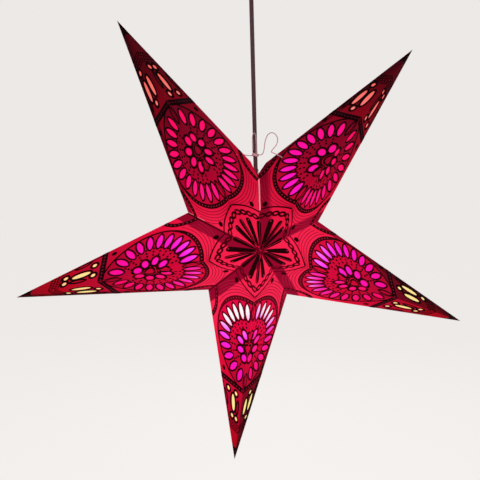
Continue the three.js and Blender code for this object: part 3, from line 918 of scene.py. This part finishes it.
def add_strands(tree, shader, colour, relief, darkest, lightest, distance, strength):
    """Give a thread's or a cord's surface its strands, darker in the furrows."""
    add_tone(tree, shader, colour, map_range(tree, relief, 0.0, 1.0, darkest, lightest))
    add_bump(tree, shader, relief, distance, strength)


def twisted_string(colours):
    """Cotton string with its strands wound round it."""
    colour = colours.string[:]
    material, tree, shader = new_material("twisted_string", colour, roughness=0.85)
    relief = strands(tree, "DIAGONAL", 420.0, distortion=1.5)
    add_strands(tree, shader, colour, relief, 0.72, 1.08, distance=0.0003, strength=0.6)
    return material


def braided_cord(colours):
    """Cord in a woven sleeve: two sets of strands that cross."""
    colour = colours.cord[:]
    material, tree, shader = new_material("braided_cord", colour, roughness=0.6)
    crossing = [strands(tree, "Z", 260.0, lean=lean) for lean in (0.5, -0.5)]
    relief = math_node(tree, "MAXIMUM", *crossing)
    add_strands(tree, shader, colour, relief, 0.55, 1.2, distance=0.0004, strength=0.7)
    return material


def moulded(name, colour, roughness=0.42):
    """Satin moulded plastic or glazed ceramic with a faint uneven sheen."""
    material, tree, shader = new_material(name, colour, roughness)
    uneven = grain(tree, 60.0, roughness - 0.06, roughness + 0.08)
    connect(tree, shader, {"Roughness": uneven})
    add_tone(tree, shader, colour, grain(tree, 25.0, 0.95, 1.02))
    add_tooth(tree, shader, 900.0, distance=0.00006, strength=0.25)
    return material


def metal(name, colour, roughness, stretch=(1.0, 1.0, 1.0)):
    """Plated metal with fine rolling or drawing marks."""
    material, tree, shader = new_material(name, colour, roughness, metallic=1.0)
    marks = grain(tree, 700.0, roughness - 0.08, roughness + 0.12, stretch)
    connect(tree, shader, {"Roughness": marks})
    add_tone(tree, shader, colour, grain(tree, 90.0, 0.86, 1.04))
    add_tooth(tree, shader, 1200.0, distance=0.00005, strength=0.3, stretch=stretch)
    return material


def shining(name, colour, roughness, light, scale, weakest, strongest):
    """A surface that is lit from within, a little unevenly."""
    material, tree, shader = new_material(name, linear(colour), roughness)
    uneven = grain(tree, scale, weakest, strongest)
    add_glow(tree, shader, (*linear(light), 1.0), uneven)
    return material


def background_rays(tree):
    """One for rays that look for the background: from the camera, a gloss or a clear surface."""
    rays = add_node(tree, "ShaderNodeLightPath").outputs
    straight = math_node(
        tree, "MAXIMUM", rays["Is Camera Ray"], rays["Is Transmission Ray"])
    return math_node(tree, "MAXIMUM", straight, rays["Is Glossy Ray"])


def stage_material(colour, lit_share):
    """A pale surface that is seen at its own colour, and that still takes a shadow."""
    base = tuple(c * lit_share for c in colour)
    material, tree, shader = new_material("pale_stage", base, roughness=0.95, specular=0.0)
    lift = 1.0 - lit_share * WORLD_STRENGTH
    seen = math_node(tree, "MULTIPLY", background_rays(tree), lift)
    add_glow(tree, shader, (*colour, 1.0), seen)
    return material


# The printed pattern


def along_valley(distance, aside):
    """A point at that distance from the star's centre along the valley, and aside from it."""
    unit_u, unit_v = Vector(CARD_OUTER[2]).normalized()
    return distance * unit_u + aside * unit_v, distance * unit_v - aside * unit_u


def contour_lines(half, sizes):
    """Fine lines that follow the lobe outwards, close at the cusp and wider beyond it, and a line
    of painted shade along the valley's fold.
    """
    lobe = smooth_on(HEART[:9], half)
    frame_line = smooth_on(FRAME_LINE, half)
    band_start, band_low = VALLEY_BAND_LOW
    first_gap, step_at_cusp, widening, wide_from = 3.0, 1.2, 2.6, 0.35
    clear_along, clear_across = 1.5, 3.2
    lines = []
    for k in range(1, sizes.contour_count + 1):
        def gap(t, k=k):
            return first_gap + (step_at_cusp + widening * min(t / wide_from, 1.0)) * k
        kept = []
        for u, v in beside(lobe, gap):
            in_frame = any(
                u < a + clear_along and abs(v - b) < clear_across for a, b in frame_line)
            in_band = v > band_low + PRINT_SHIFT[half] and u > band_start
            if not in_frame and not in_band:
                kept.append((u, v))
            elif len(kept) > 2:
                break
            else:
                kept = []
        if len(kept) > 2:
            lines.append((kept, sizes.contour_line / MM, False))
    # A thin dark line of painted shade just beside the valley, where the fold lies in shade.
    crease_shade = [along_valley(distance, 0.4) for distance in CREASE_SHADE]
    return lines + [(crease_shade, LINE_WIDTHS["crease_shade"], False)]


def outline_lines(half, sizes):
    """Every black line on one card: its points, its width or widths, and whether it closes."""
    thin, band, line = (
        width / MM for width in (sizes.petal_line, sizes.beaded_band, sizes.heart_line))
    lines = []
    for u, v, angle, length, width, point in windows(half):
        bold = thin if point > 1 else 1.2 * thin
        ring = petal(u, v, angle, length + 1.6 * bold, width + 1.2 * bold, point)
        lines.append((ring, bold, True))
    for u, v, *shape in UNCUT_LEAVES:
        (place,) = shifted([(u, v)], half)
        lines.append((petal(*place, *shape), thin, True))
    for leaf in UNCUT_TIP_LEAVES[half]:
        lines.append((petal(*leaf), thin, True))

    heart = smooth_on(HEART, half)
    widths = []
    for u, _ in heart:
        share = min(max((u - BEADS_END[half]) / BAND_NARROWS_OVER, 0.0), 1.0)
        widths.append(band + (line - band) * share)
    lines.append((heart, widths, False))
    lines.append((smooth_on(VALLEY_BAND, half), band, False))

    def add(name, points, closed=False):
        lines.append((points, LINE_WIDTHS[name], closed))

    add("cross_band", CROSS_BAND)
    add("frame", smooth_on(FRAME_LINE, half))
    spacing, start, lean = 9.2, 0.2, 12
    for u, v, angle in spaced(smooth_on(CHAIN_PATH, half), spacing, start):
        add("link", petal(u, v, angle + lean, *LINK, count=8), closed=True)
    add("outer_heart", smooth(OUTER_HEART, steps=3))
    add("inner_heart", smooth(INNER_HEART, steps=3))
    add("rim", [(u, side_edge(u) - RIM_INSET) for u in RIM])
    past_edge = 1.0
    for u in TIP_RULES:
        add("tip_rule", ((u, -past_edge), (u - 1.0, side_edge(u) + past_edge)))
    return lines


def ray(angle, half_width):
    """A wedge that widens from the middle of the star to a round end."""
    cos, sin = math.cos(math.radians(angle)), math.sin(math.radians(angle))
    outline = [*RAY_SIDE, (RAY_END, 0.0), *((r, -w) for r, w in reversed(RAY_SIDE))]
    return [(r * cos - w * half_width * sin, r * sin + w * half_width * cos) for r, w in outline]


def ray_turn(half):
    """How far the rosette's rays are turned on one half, because the print is off the ridge."""
    return math.copysign(RAY_TURN, PRINT_SHIFT[half])


def dotted_chains(half):
    """Three dots in a row away from the heart's middle, in each gap between its petals."""
    petals = ring_petals(half)[:OUTER_RING[0]]
    dots = []
    for (_, _, first, *_), (_, _, second, *_) in zip(petals, petals[1:]):
        angle = math.radians((first + second) / 2)
        places = [
            (HEART_CENTRE + radius * math.cos(angle), radius * math.sin(angle))
            for radius in CHAIN_DOTS]
        dots += [(u, v, math.degrees(angle)) for u, v in shifted(places, half)]
    return dots


def ink_shapes(half):
    """Every solid black shape on one card."""
    shapes = [ray(angle + ray_turn(half), half_width) for angle, half_width in RAYS]
    shapes.append(disc(0.0, 0.0, ROSETTE_MIDDLE, count=14))
    for place, shape in DROPS:
        (place,) = shifted([place], half)
        shapes.append(petal(*place, *shape, ROUND, count=7))
    shapes += [petal(*dot, *CHAIN_DOT, count=4) for dot in dotted_chains(half)]
    first, stagger, spacing = 1.4, 1.8, 3.6
    for row, u in enumerate(TIP_DOT_ROWS):
        v = first + stagger * (row % 2)
        while v < side_edge(u) - CLEAR_OF_SIDE:
            shapes.append(disc(u, v, TIP_DOT, count=6))
            v += spacing
    return shapes + [BLACK_TIP]


def bead_shapes(half, sizes):
    """The pale beads on the black bands and on the rosette."""
    size, spacing = sizes.bead_size / MM, sizes.bead_spacing / MM
    past_end, lobe_start, valley_start = 4.0, 1.5, 3.2
    lobe = [(u, v) for u, v in smooth_on(HEART, half) if u < BEADS_END[half] + past_end]
    places = spaced(lobe, spacing, lobe_start)
    places += spaced(smooth_on(VALLEY_BAND, half), spacing, valley_start)
    radius, angle = ROSETTE_BEAD
    turn = math.radians(angle + ray_turn(half))
    places.append((radius * math.cos(turn), radius * math.sin(turn), turn))
    cross_spacing, cross_start, larger = 5.3, 6.0, 1.35
    cross = [
        (u, v) for u, v, _ in spaced(CROSS_BAND, cross_spacing, cross_start)
        if v < side_edge(u) - CLEAR_OF_SIDE]
    return [disc(u, v, size) for u, v, _ in places] + [disc(u, v, larger * size) for u, v in cross]


# Operators


class LANTERN_OT_camera(bpy.types.Operator):
    """Put the camera where the star is seen a little from its left and from above its middle."""

    bl_idname = "lantern.camera"
    bl_label = "Camera"

    def execute(self, context):
        angles = [math.radians(angle) for angle in (81.234, 0.765, -4.117)]
        bpy.ops.object.camera_add(location=(-0.06287, -0.64707, -0.25558), rotation=angles)
        camera = context.object
        camera.data.lens = 37.5
        camera.data.sensor_width = 36.0
        camera.data.clip_start = 0.01
        camera.data.clip_end = 50.0
        context.scene.camera = camera
        return {"FINISHED"}


class LANTERN_OT_cord(bpy.types.Operator):
    """Hang the braided cord from its ball down to the lampholder."""

    bl_idname = "lantern.cord"
    bl_label = "Pendant cord"

    def execute(self, context):
        top, bottom, steps = -5.5, -239.9, 18
        heights = [top + (bottom - top) * i / steps for i in range(steps + 1)]
        route = [PENDANT @ Vector((0.0, 0.0, height)) for height in heights]
        made = round_bar("braided_pendant_cord", route, radius=0.0027, resolution=4)
        made.data.materials.append(braided_cord(context.scene.lantern_colours))
        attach(made, "pendant")
        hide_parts("pendant_cord")
        return {"FINISHED"}


class LANTERN_OT_cards(bpy.types.Operator):
    """Cut the twenty printed cards with their windows and fold them into the star."""

    bl_idname = "lantern.cards"
    bl_label = "Cards"

    def execute(self, context):
        sizes = context.scene.lantern_star
        colours = context.scene.lantern_colours
        materials = {}
        templates = {}
        for name, face, half, place in card_places(sizes):
            at_seam = name in SEAM_PAGES
            if (half, at_seam) not in templates:
                templates[half, at_seam] = self.template(half, at_seam, sizes)
            made = copy_to(templates[half, at_seam], f"{name}_{face}_printed_card", place)
            if name not in materials:
                materials[name] = self.material(name, half, sizes, colours)
            made.data.materials.append(materials[name])
            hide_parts(f"{name}_{face}_card")
        remove(*templates.values())
        return {"FINISHED"}

    def material(self, name, half, sizes, colours):
        """The lit paper of one page, with its own flaps and shade."""
        valley_flap = side_flap = None
        if name in FLAPS:
            valley_flap = (sizes.flap_width, FLAPS[name], VALLEY_FLAP_LIGHT)
        if half == "half1":
            side_flap = (sizes.side_flap_width, SIDE_FLAP_SOFTNESS, SIDE_FLAP_LIGHT)
        return lit_paper(
            f"lit_{name}", colours.card[:], CARD_GLOW, valley_flap=valley_flap,
            side_flap=side_flap, far_light=FAR_LIGHT.get(name))

    def template(self, half, at_seam, sizes):
        """A flat card whose inner face stands back from the edges, so that folded ones meet."""
        outer, inner = list(CARD_OUTER), list(CARD_INNER)
        holes = [petal(*window) for window in windows(half)]
        if at_seam:
            outer, inner = clipped(outer), clipped(inner)
            holes.append(disc(*STRING_HOLE, STRING_HOLE_SIZE))
        thickness, at_corner = sizes.card_thickness / MM, 0.01
        made = flat_sheet(f"card_{half}_{at_seam}", [outer, *holes], -thickness, 0.0)
        for vertex in made.data.vertices:
            if vertex.co.z > -thickness / 2:
                continue
            for (u, v), (a, b) in zip(outer, inner):
                if math.hypot(vertex.co.x - u, vertex.co.y - v) < at_corner:
                    vertex.co.x, vertex.co.y = a, b
        add_card_map(made)
        return made


class LANTERN_OT_tissue(bpy.types.Operator):
    """Line the cards with lit tissue."""

    bl_idname = "lantern.tissue"
    bl_label = "Tissue"

    def execute(self, context):
        sizes = context.scene.lantern_star
        colours = context.scene.lantern_colours
        linings = {}
        for petals, petal_table in (("pink", PETAL_GLOW), ("violet", VIOLET_PETAL_GLOW)):
            for tips, tip_table in (("yellow", YELLOW_TIP_GLOW), ("salmon", SALMON_TIP_GLOW)):
                linings[petals, tips] = tissue_material(
                    f"{petals}_and_{tips}_tissue", colours, petal_table, tip_table)
        top = -sizes.tissue_depth / MM
        low = top - sizes.tissue_thickness / MM
        templates = {}
        for at_seam in (False, True):
            outline = clipped(TISSUE_OUTLINE) if at_seam else list(TISSUE_OUTLINE)
            holes = [disc(*STRING_HOLE, TISSUE_HOLE_SIZE)] if at_seam else []
            made = flat_sheet(f"tissue_{at_seam}", [outline, *holes], low, top)
            add_card_map(made)
            templates[at_seam] = made
        for name, face, _, place in card_places(sizes):
            made = copy_to(templates[name in SEAM_PAGES], f"{name}_{face}_lit_tissue", place)
            # Violet is painted brighter light on pages turned that way to the lamp; the tissue is
            # the same.
            petals = "violet" if name in VIOLET_LININGS else "pink"
            tips = "yellow" if name.split("_arm_")[0] in YELLOW_TIPS else "salmon"
            made.data.materials.append(linings[petals, tips])
            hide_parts(f"{name}_{face}_tissue")
        remove(*templates.values())
        return {"FINISHED"}


class LANTERN_OT_print(bpy.types.Operator):
    """Print the hearts, bands, chains, rays and fine lines on every card, and paint a line of
    shade along each valley's fold.
    """

    bl_idname = "lantern.print"
    bl_label = "Printed pattern"

    def execute(self, context):
        scene = context.scene
        sizes, colours = scene.lantern_print, scene.lantern_colours
        ink = ink_material("black_ink", colours, INK_GLOW)
        solid_ink = ink_material("solid_black_ink", colours, SOLID_INK_GLOW)
        field = lit_paper("heart_field", colours.heart_field[:], FIELD_GLOW)
        # The printed fine lines round the lobes and the painted shade line along each valley share
        # this material.
        fine = lit_paper("fine_line", colours.heart_field[:], CARD_GLOW, gain=0.42)
        beads = lit_paper("pale_bead", colours.card[:], BEAD_GLOW)
        templates = {}
        for half in ("half1", "half2"):
            holes = [petal(*window) for window in ring_petals(half)]
            parts = [
                flat_lines(f"ink_{half}", outline_lines(half, sizes)),
                flat_sheet(f"field_{half}", [smooth_on(HEART, half), *holes], *FIELD_LAYER),
                flat_lines(f"fine_{half}", contour_lines(half, sizes)),
                flat_sheet(f"shapes_{half}", ink_shapes(half), *SHAPE_LAYER),
                flat_sheet(f"beads_{half}", bead_shapes(half, sizes), *BEAD_LAYER),
            ]
            parts = [trimmed(part) for part in parts]
            made = joined(f"print_{half}", parts, [ink, field, fine, solid_ink, beads])
            add_card_map(made)
            templates[half] = made
        for name, face, half, place in card_places(scene.lantern_star):
            copy_to(templates[half], f"{name}_{face}_print", place)
        remove(*templates.values())
        return {"FINISHED"}


class LANTERN_OT_seams(bpy.types.Operator):
    """Lay the pale cut edges along two seams, and dark lines of painted shadow in the fold gap
    along two valleys.
    """

    bl_idname = "lantern.seams"
    bl_label = "Seam edges"

    def execute(self, context):
        colours = context.scene.lantern_colours
        materials = {
            "cut_edge": lit_paper("cut_edge", colours.cut_edge[:], EDGE_GLOW, gain=0.9),
            # Painted shadow in the fold gap, made as dark as the printed ink.
            "valley_shadow_line": ink_material("painted_valley_shadow", colours, INK_GLOW),
        }
        places = places_by_card(context.scene.lantern_star)
        clear, sway, steps = 0.3, 0.12, 6
        for page, kind, near, far, width in VALLEY_LINES:
            points = []
            for i in range(steps + 1):
                aside = clear + width / 2 + sway * math.sin(2.1 * i)
                points.append(along_valley(near + (far - near) * i / steps, aside))
            for face in ("front", "back"):
                made = flat_lines(f"{page}_{face}_{kind}", [(points, width, False)])
                made.data.transform(Matrix.Translation((0.0, 0.0, VALLEY_LINE_HEIGHT)))
                place = places[f"{page}_{face}"]
                settle(made, place, materials[kind], "star", "card")
                if place.determinant() < 0:
                    made.data.flip_normals()
        return {"FINISHED"}


class LANTERN_OT_tie(bpy.types.Operator):
    """Tie the star to its cord: wrapped knot, two strands, a cross string and a bow loop."""

    bl_idname = "lantern.tie"
    bl_label = "Tie strings"

    def execute(self, context):
        material = twisted_string(context.scene.lantern_colours)
        to_pendant = PENDANT.inverted()
        places = places_by_card(context.scene.lantern_star)
        knot_height = -199.9

        def from_knot(points):
            return [(x, y, knot_height + rise) for x, y, rise in points]

        def through_hole(card):
            lifts = (2.4, 0.2, -2.6)
            return [tuple(to_pendant @ places[card] @ Vector((*STRING_HOLE, z))) for z in lifts]

        def lay(name, route, radius, *nodes, steps=6):
            made = as_mesh(round_bar(name, smooth(route, steps), radius))
            settle(made, PENDANT, material, "star", "string", *nodes, angle=60)

        wrap_radius, wrap_height, turns, per_turn = 3.7, 3.2, 3, 16
        count = turns * per_turn
        wraps = []
        for i in range(count + 1):
            angle = 2 * math.pi * i / per_turn
            wraps.append((
                wrap_radius * math.sin(angle), -wrap_radius * math.cos(angle),
                knot_height - wrap_height / 2 + wrap_height * i / count))
        wrap, string, strand = 0.72, 0.6, 0.5
        lay("wrapped_knot", wraps, wrap, "tie_knot", steps=1)
        lay("cross_string", [
            *from_knot([(-3.6, 0.0, 0.0), (-8.0, 2.0, -0.4)]),
            *through_hole("upper_left_arm_half2_back"),
        ], string, "tie_string_left")
        lay("knot_strands", from_knot([
            (-3.3, -2.4, 0.0), (-3.6, -1.9, 13.0), (-3.3, -2.0, 23.0), (-1.6, -3.6, 27.5),
            (0.7, -3.9, 24.0), (1.0, -3.7, 12.0), (0.8, -3.8, 0.0),
        ]), strand)
        lay("bow_loop", [
            *from_knot([
                (3.6, 0.0, 0.0), (8.6, -1.6, 0.6), (11.0, -2.4, 6.0), (12.6, -2.8, 16.0),
                (16.0, -3.2, 24.4), (21.0, -3.6, 27.4), (26.0, -4.2, 25.0), (28.6, -4.8, 19.0),
                (26.6, -5.4, 12.0), (22.0, -6.2, 6.6), (20.0, -7.2, 3.2), (24.0, -8.6, 1.0)]),
            *through_hole("upper_right_arm_half1_front"),
        ], string, "tie_string_right")
        return {"FINISHED"}


class LANTERN_OT_ceiling(bpy.types.Operator):
    """Turn the ceiling cover, its cord grip and the ball, and finish the parts above them."""

    bl_idname = "lantern.ceiling"
    bl_label = "Ceiling fitting"

    def execute(self, context):
        white = moulded("white_moulding", context.scene.lantern_colours.moulding[:])
        low, radius, corner, wall, hole = -36.0, 44.0, 12.0, 1.4, 8.2
        rim = radius + 0.5
        cover = turned("domed_cover", [
            (hole, low + 0.6), (hole + 0.6, low),
            *arc(radius - corner, low + corner, corner, -90, 0, 12),
            (radius, -1.2), (rim, -0.7), (rim, -0.3), (radius - wall, -0.3),
            *arc(radius - corner, low + corner, corner - wall, 0, -90, 10), (hole, low + wall),
        ])
        settle(cover, TO_METRES, white, "ceiling", "moulded_white", "ceiling_cover")

        pivot, socket, stem, flange = -46.0, 5.5, 7.6, 11.0
        flange_low = low + wall + 0.3
        flange_top, stem_top, mouth = flange_low + 3.0, flange_low + 9.0, pivot - 3.9
        grip = turned("tapered_grip", [
            *arc(0.0, pivot, socket, -45, 0, 8), (socket, stem_top), (stem, stem_top),
            (stem, flange_top), (flange, flange_top), (flange, flange_low), (stem, flange_low),
            (stem, low), (stem, low - 4.0), (7.4, low - 4.6), (stem, low - 5.2), (7.5, low - 7.0),
            (7.3, low - 7.6), (7.5, low - 8.2), (7.4, low - 11.0), (6.6, mouth), (4.4, mouth),
        ], sides=64)
        settle(grip, TO_METRES, white, "ceiling", "moulded_white", "cord_grip")

        ball_radius = 5.2
        ball = turned(
            "turned_ball", arc(0.0, 0.0, ball_radius, 90, -90, 24), sides=48, closed=False)
        settle(ball, PENDANT, white, "swing_ball", "moulded_white", "cord_ball")

        steel = metal(
            "zinc_plate", (0.55, 0.56, 0.58), roughness=0.34, stretch=(1.0, 14.0, 1.0))
        assign(steel, "ceiling_plate", "plate_screw_left", "plate_screw_right")
        ceramic = moulded("terminal_ceramic", linear((232, 228, 216)), roughness=0.5)
        assign(ceramic, "terminal_block")
        assign(moulded("lead_sleeve", linear((132, 78, 44)), roughness=0.5), "supply_leads")
        return {"FINISHED"}


class LANTERN_OT_lamp(bpy.types.Operator):
    """Build the lampholder with its shade ring, and the lit round bulb."""

    bl_idname = "lantern.lamp"
    bl_label = "Lampholder and bulb"

    def execute(self, context):
        white = moulded(
            "holder_moulding", context.scene.lantern_colours.moulding[:], roughness=0.36)
        radius, inner = 14.0, 12.4
        top = -240.2
        low = top - 19.0
        cap = turned("domed_cap", [
            (0.0, top), (4.4, top), (5.0, top - 0.6), (5.0, top - 4.4), (5.8, top - 5.2),
            *arc(0.0, low + 0.3, radius, 60, 0, 10), (radius, low), (inner, low),
            *arc(0.0, low + 0.3, inner, 0, 58, 10), (0.0, low + 11.0),
        ], sides=64, closed=False)
        settle(cap, PENDANT, white, "pendant", "moulded_white", "lampholder_cap")

        skirt_length, taper, pitch, thread_count = 36.0, 0.8, 3.0, 10
        thread = []
        for i in range(thread_count):
            height = low - 4.0 - pitch * i
            root = radius - taper * (low - height) / skirt_length
            thread += [(root, height + 0.9), (root + 0.25, height), (root, height - 0.9)]
        skirt_low = low - skirt_length
        skirt = turned("threaded_skirt", [
            (radius, low), *thread, (radius - taper, skirt_low), (inner - taper, skirt_low),
            (inner, low)], sides=64)
        settle(skirt, PENDANT, white, "pendant", "moulded_white", "lampholder_skirt")

        ring_inner, ring_top = 14.35, low - 20.0
        ring = turned("knurled_ring", [
            (ring_inner, ring_top), (15.9, ring_top), (16.6, ring_top - 0.8),
            (17.5, ring_top - 5.2), (17.3, ring_top - 6.0), (ring_inner, ring_top - 6.0),
        ], sides=64)
        settle(ring, PENDANT, white, "pendant", "moulded_white", "shade_ring")

        ceramic = moulded("insert_ceramic", linear((232, 228, 216)), roughness=0.5)
        assign(ceramic, "holder_insert")
        brass = metal("plated_brass", (0.72, 0.55, 0.26), roughness=0.28)
        assign(brass, "centre_contact", "bulb_screw_cap")

        neck = -293.7
        middle = neck - 27.0
        glass_radius, glass_inner, neck_radius, neck_inner = 22.5, 21.5, 6.2, 5.2
        outer_angle = 90 - math.degrees(math.asin(neck_radius / glass_radius))
        inner_angle = 90 - math.degrees(math.asin(neck_inner / glass_inner))
        glass = turned("round_bulb", [
            (neck_radius, neck), *arc(0.0, middle, glass_radius, outer_angle, -90, 28),
            *arc(0.0, middle, glass_inner, -90, inner_angle, 28), (neck_inner, neck),
        ], sides=64)
        frosted = shining(
            "lit_bulb", (255, 244, 224), roughness=0.3, light=(255, 226, 170), scale=30.0,
            weakest=1.1, strongest=1.4)
        settle(glass, PENDANT, frosted, "bulb", "bulb_glass", "bulb_glass", angle=40)
        glowing = shining(
            "lit_filament", (255, 214, 140), roughness=0.5, light=(255, 206, 120), scale=300.0,
            weakest=2.2, strongest=3.0)
        assign(glowing, "bulb_filament")
        return {"FINISHED"}


class LANTERN_OT_stage(bpy.types.Operator):
    """Add the pale floor, the surroundings and the soft studio lights."""

    bl_idname = "lantern.stage"
    bl_label = "Stage"

    def execute(self, context):
        colour = context.scene.lantern_colours.backdrop[:]
        bpy.ops.object.select_all(action="DESELECT")
        bpy.ops.mesh.primitive_plane_add(size=24.0, location=(0.0, 0.0, -1.5))
        floor = context.object
        floor.name = "pale_floor"
        floor.data.materials.append(stage_material(colour, lit_share=0.3))

        world = bpy.data.worlds.new("pale_room")
        context.scene.world = world
        world.use_nodes = True
        tree = world.node_tree
        plain = tree.nodes["Background"]
        connect(tree, plain, {"Color": (1.0, 1.0, 1.0, 1.0), "Strength": WORLD_STRENGTH})
        seen = add_node(tree, "ShaderNodeBackground", {"Color": (*colour, 1.0)})
        mix = add_node(tree, "ShaderNodeMixShader", {
            "Fac": background_rays(tree), 1: plain.outputs[0], 2: seen.outputs[0]})
        connect(tree, tree.nodes["World Output"], {"Surface": mix.outputs["Shader"]})

        middle = Vector((0.0, 0.0, -0.35))
        for name, place, power, size in STUDIO_LIGHTS:
            bpy.ops.object.light_add(type="AREA", location=place)
            light = context.object
            light.name = name + "_light"
            light.data.energy = power
            light.data.size = size
            aim = middle - Vector(place)
            light.rotation_euler = aim.to_track_quat("-Z", "Y").to_euler()
        context.scene.view_settings.view_transform = "Standard"
        return {"FINISHED"}


class LANTERN_PT_panel(bpy.types.Panel):
    """Sizes, colours and building steps of the paper star lantern."""

    bl_idname = "LANTERN_PT_panel"
    bl_label = "Paper Star Lantern"
    bl_space_type = "VIEW_3D"
    bl_region_type = "UI"
    bl_category = "Paper Star"

    def draw(self, context):
        for title, group in (
            ("Star", context.scene.lantern_star),
            ("Print", context.scene.lantern_print),
            ("Colours", context.scene.lantern_colours),
        ):
            box = self.layout.box()
            box.label(text=title)
            for key in group.__annotations__:
                box.prop(group, key)
        column = self.layout.column()
        for operator in OPERATORS:
            column.operator(operator.bl_idname)


OPERATORS = (
    LANTERN_OT_camera,
    LANTERN_OT_cord,
    LANTERN_OT_cards,
    LANTERN_OT_tissue,
    LANTERN_OT_print,
    LANTERN_OT_seams,
    LANTERN_OT_tie,
    LANTERN_OT_ceiling,
    LANTERN_OT_lamp,
    LANTERN_OT_stage,
)
CLASSES = (StarSizes, PrintSizes, LanternColours, *OPERATORS, LANTERN_PT_panel)


def register():
    for cls in CLASSES:
        bpy.utils.register_class(cls)
    bpy.types.Scene.lantern_star = PointerProperty(type=StarSizes)
    bpy.types.Scene.lantern_print = PointerProperty(type=PrintSizes)
    bpy.types.Scene.lantern_colours = PointerProperty(type=LanternColours)


def unregister():
    del bpy.types.Scene.lantern_colours
    del bpy.types.Scene.lantern_print
    del bpy.types.Scene.lantern_star
    for cls in reversed(CLASSES):
        bpy.utils.unregister_class(cls)


def main():
    register()
    bpy.ops.lantern.camera()
    bpy.ops.lantern.cord()
    bpy.ops.lantern.cards()
    bpy.ops.lantern.tissue()
    bpy.ops.lantern.print()
    bpy.ops.lantern.seams()
    bpy.ops.lantern.tie()
    bpy.ops.lantern.ceiling()
    bpy.ops.lantern.lamp()
    bpy.ops.lantern.stage()


if __name__ == "__main__":
    main()
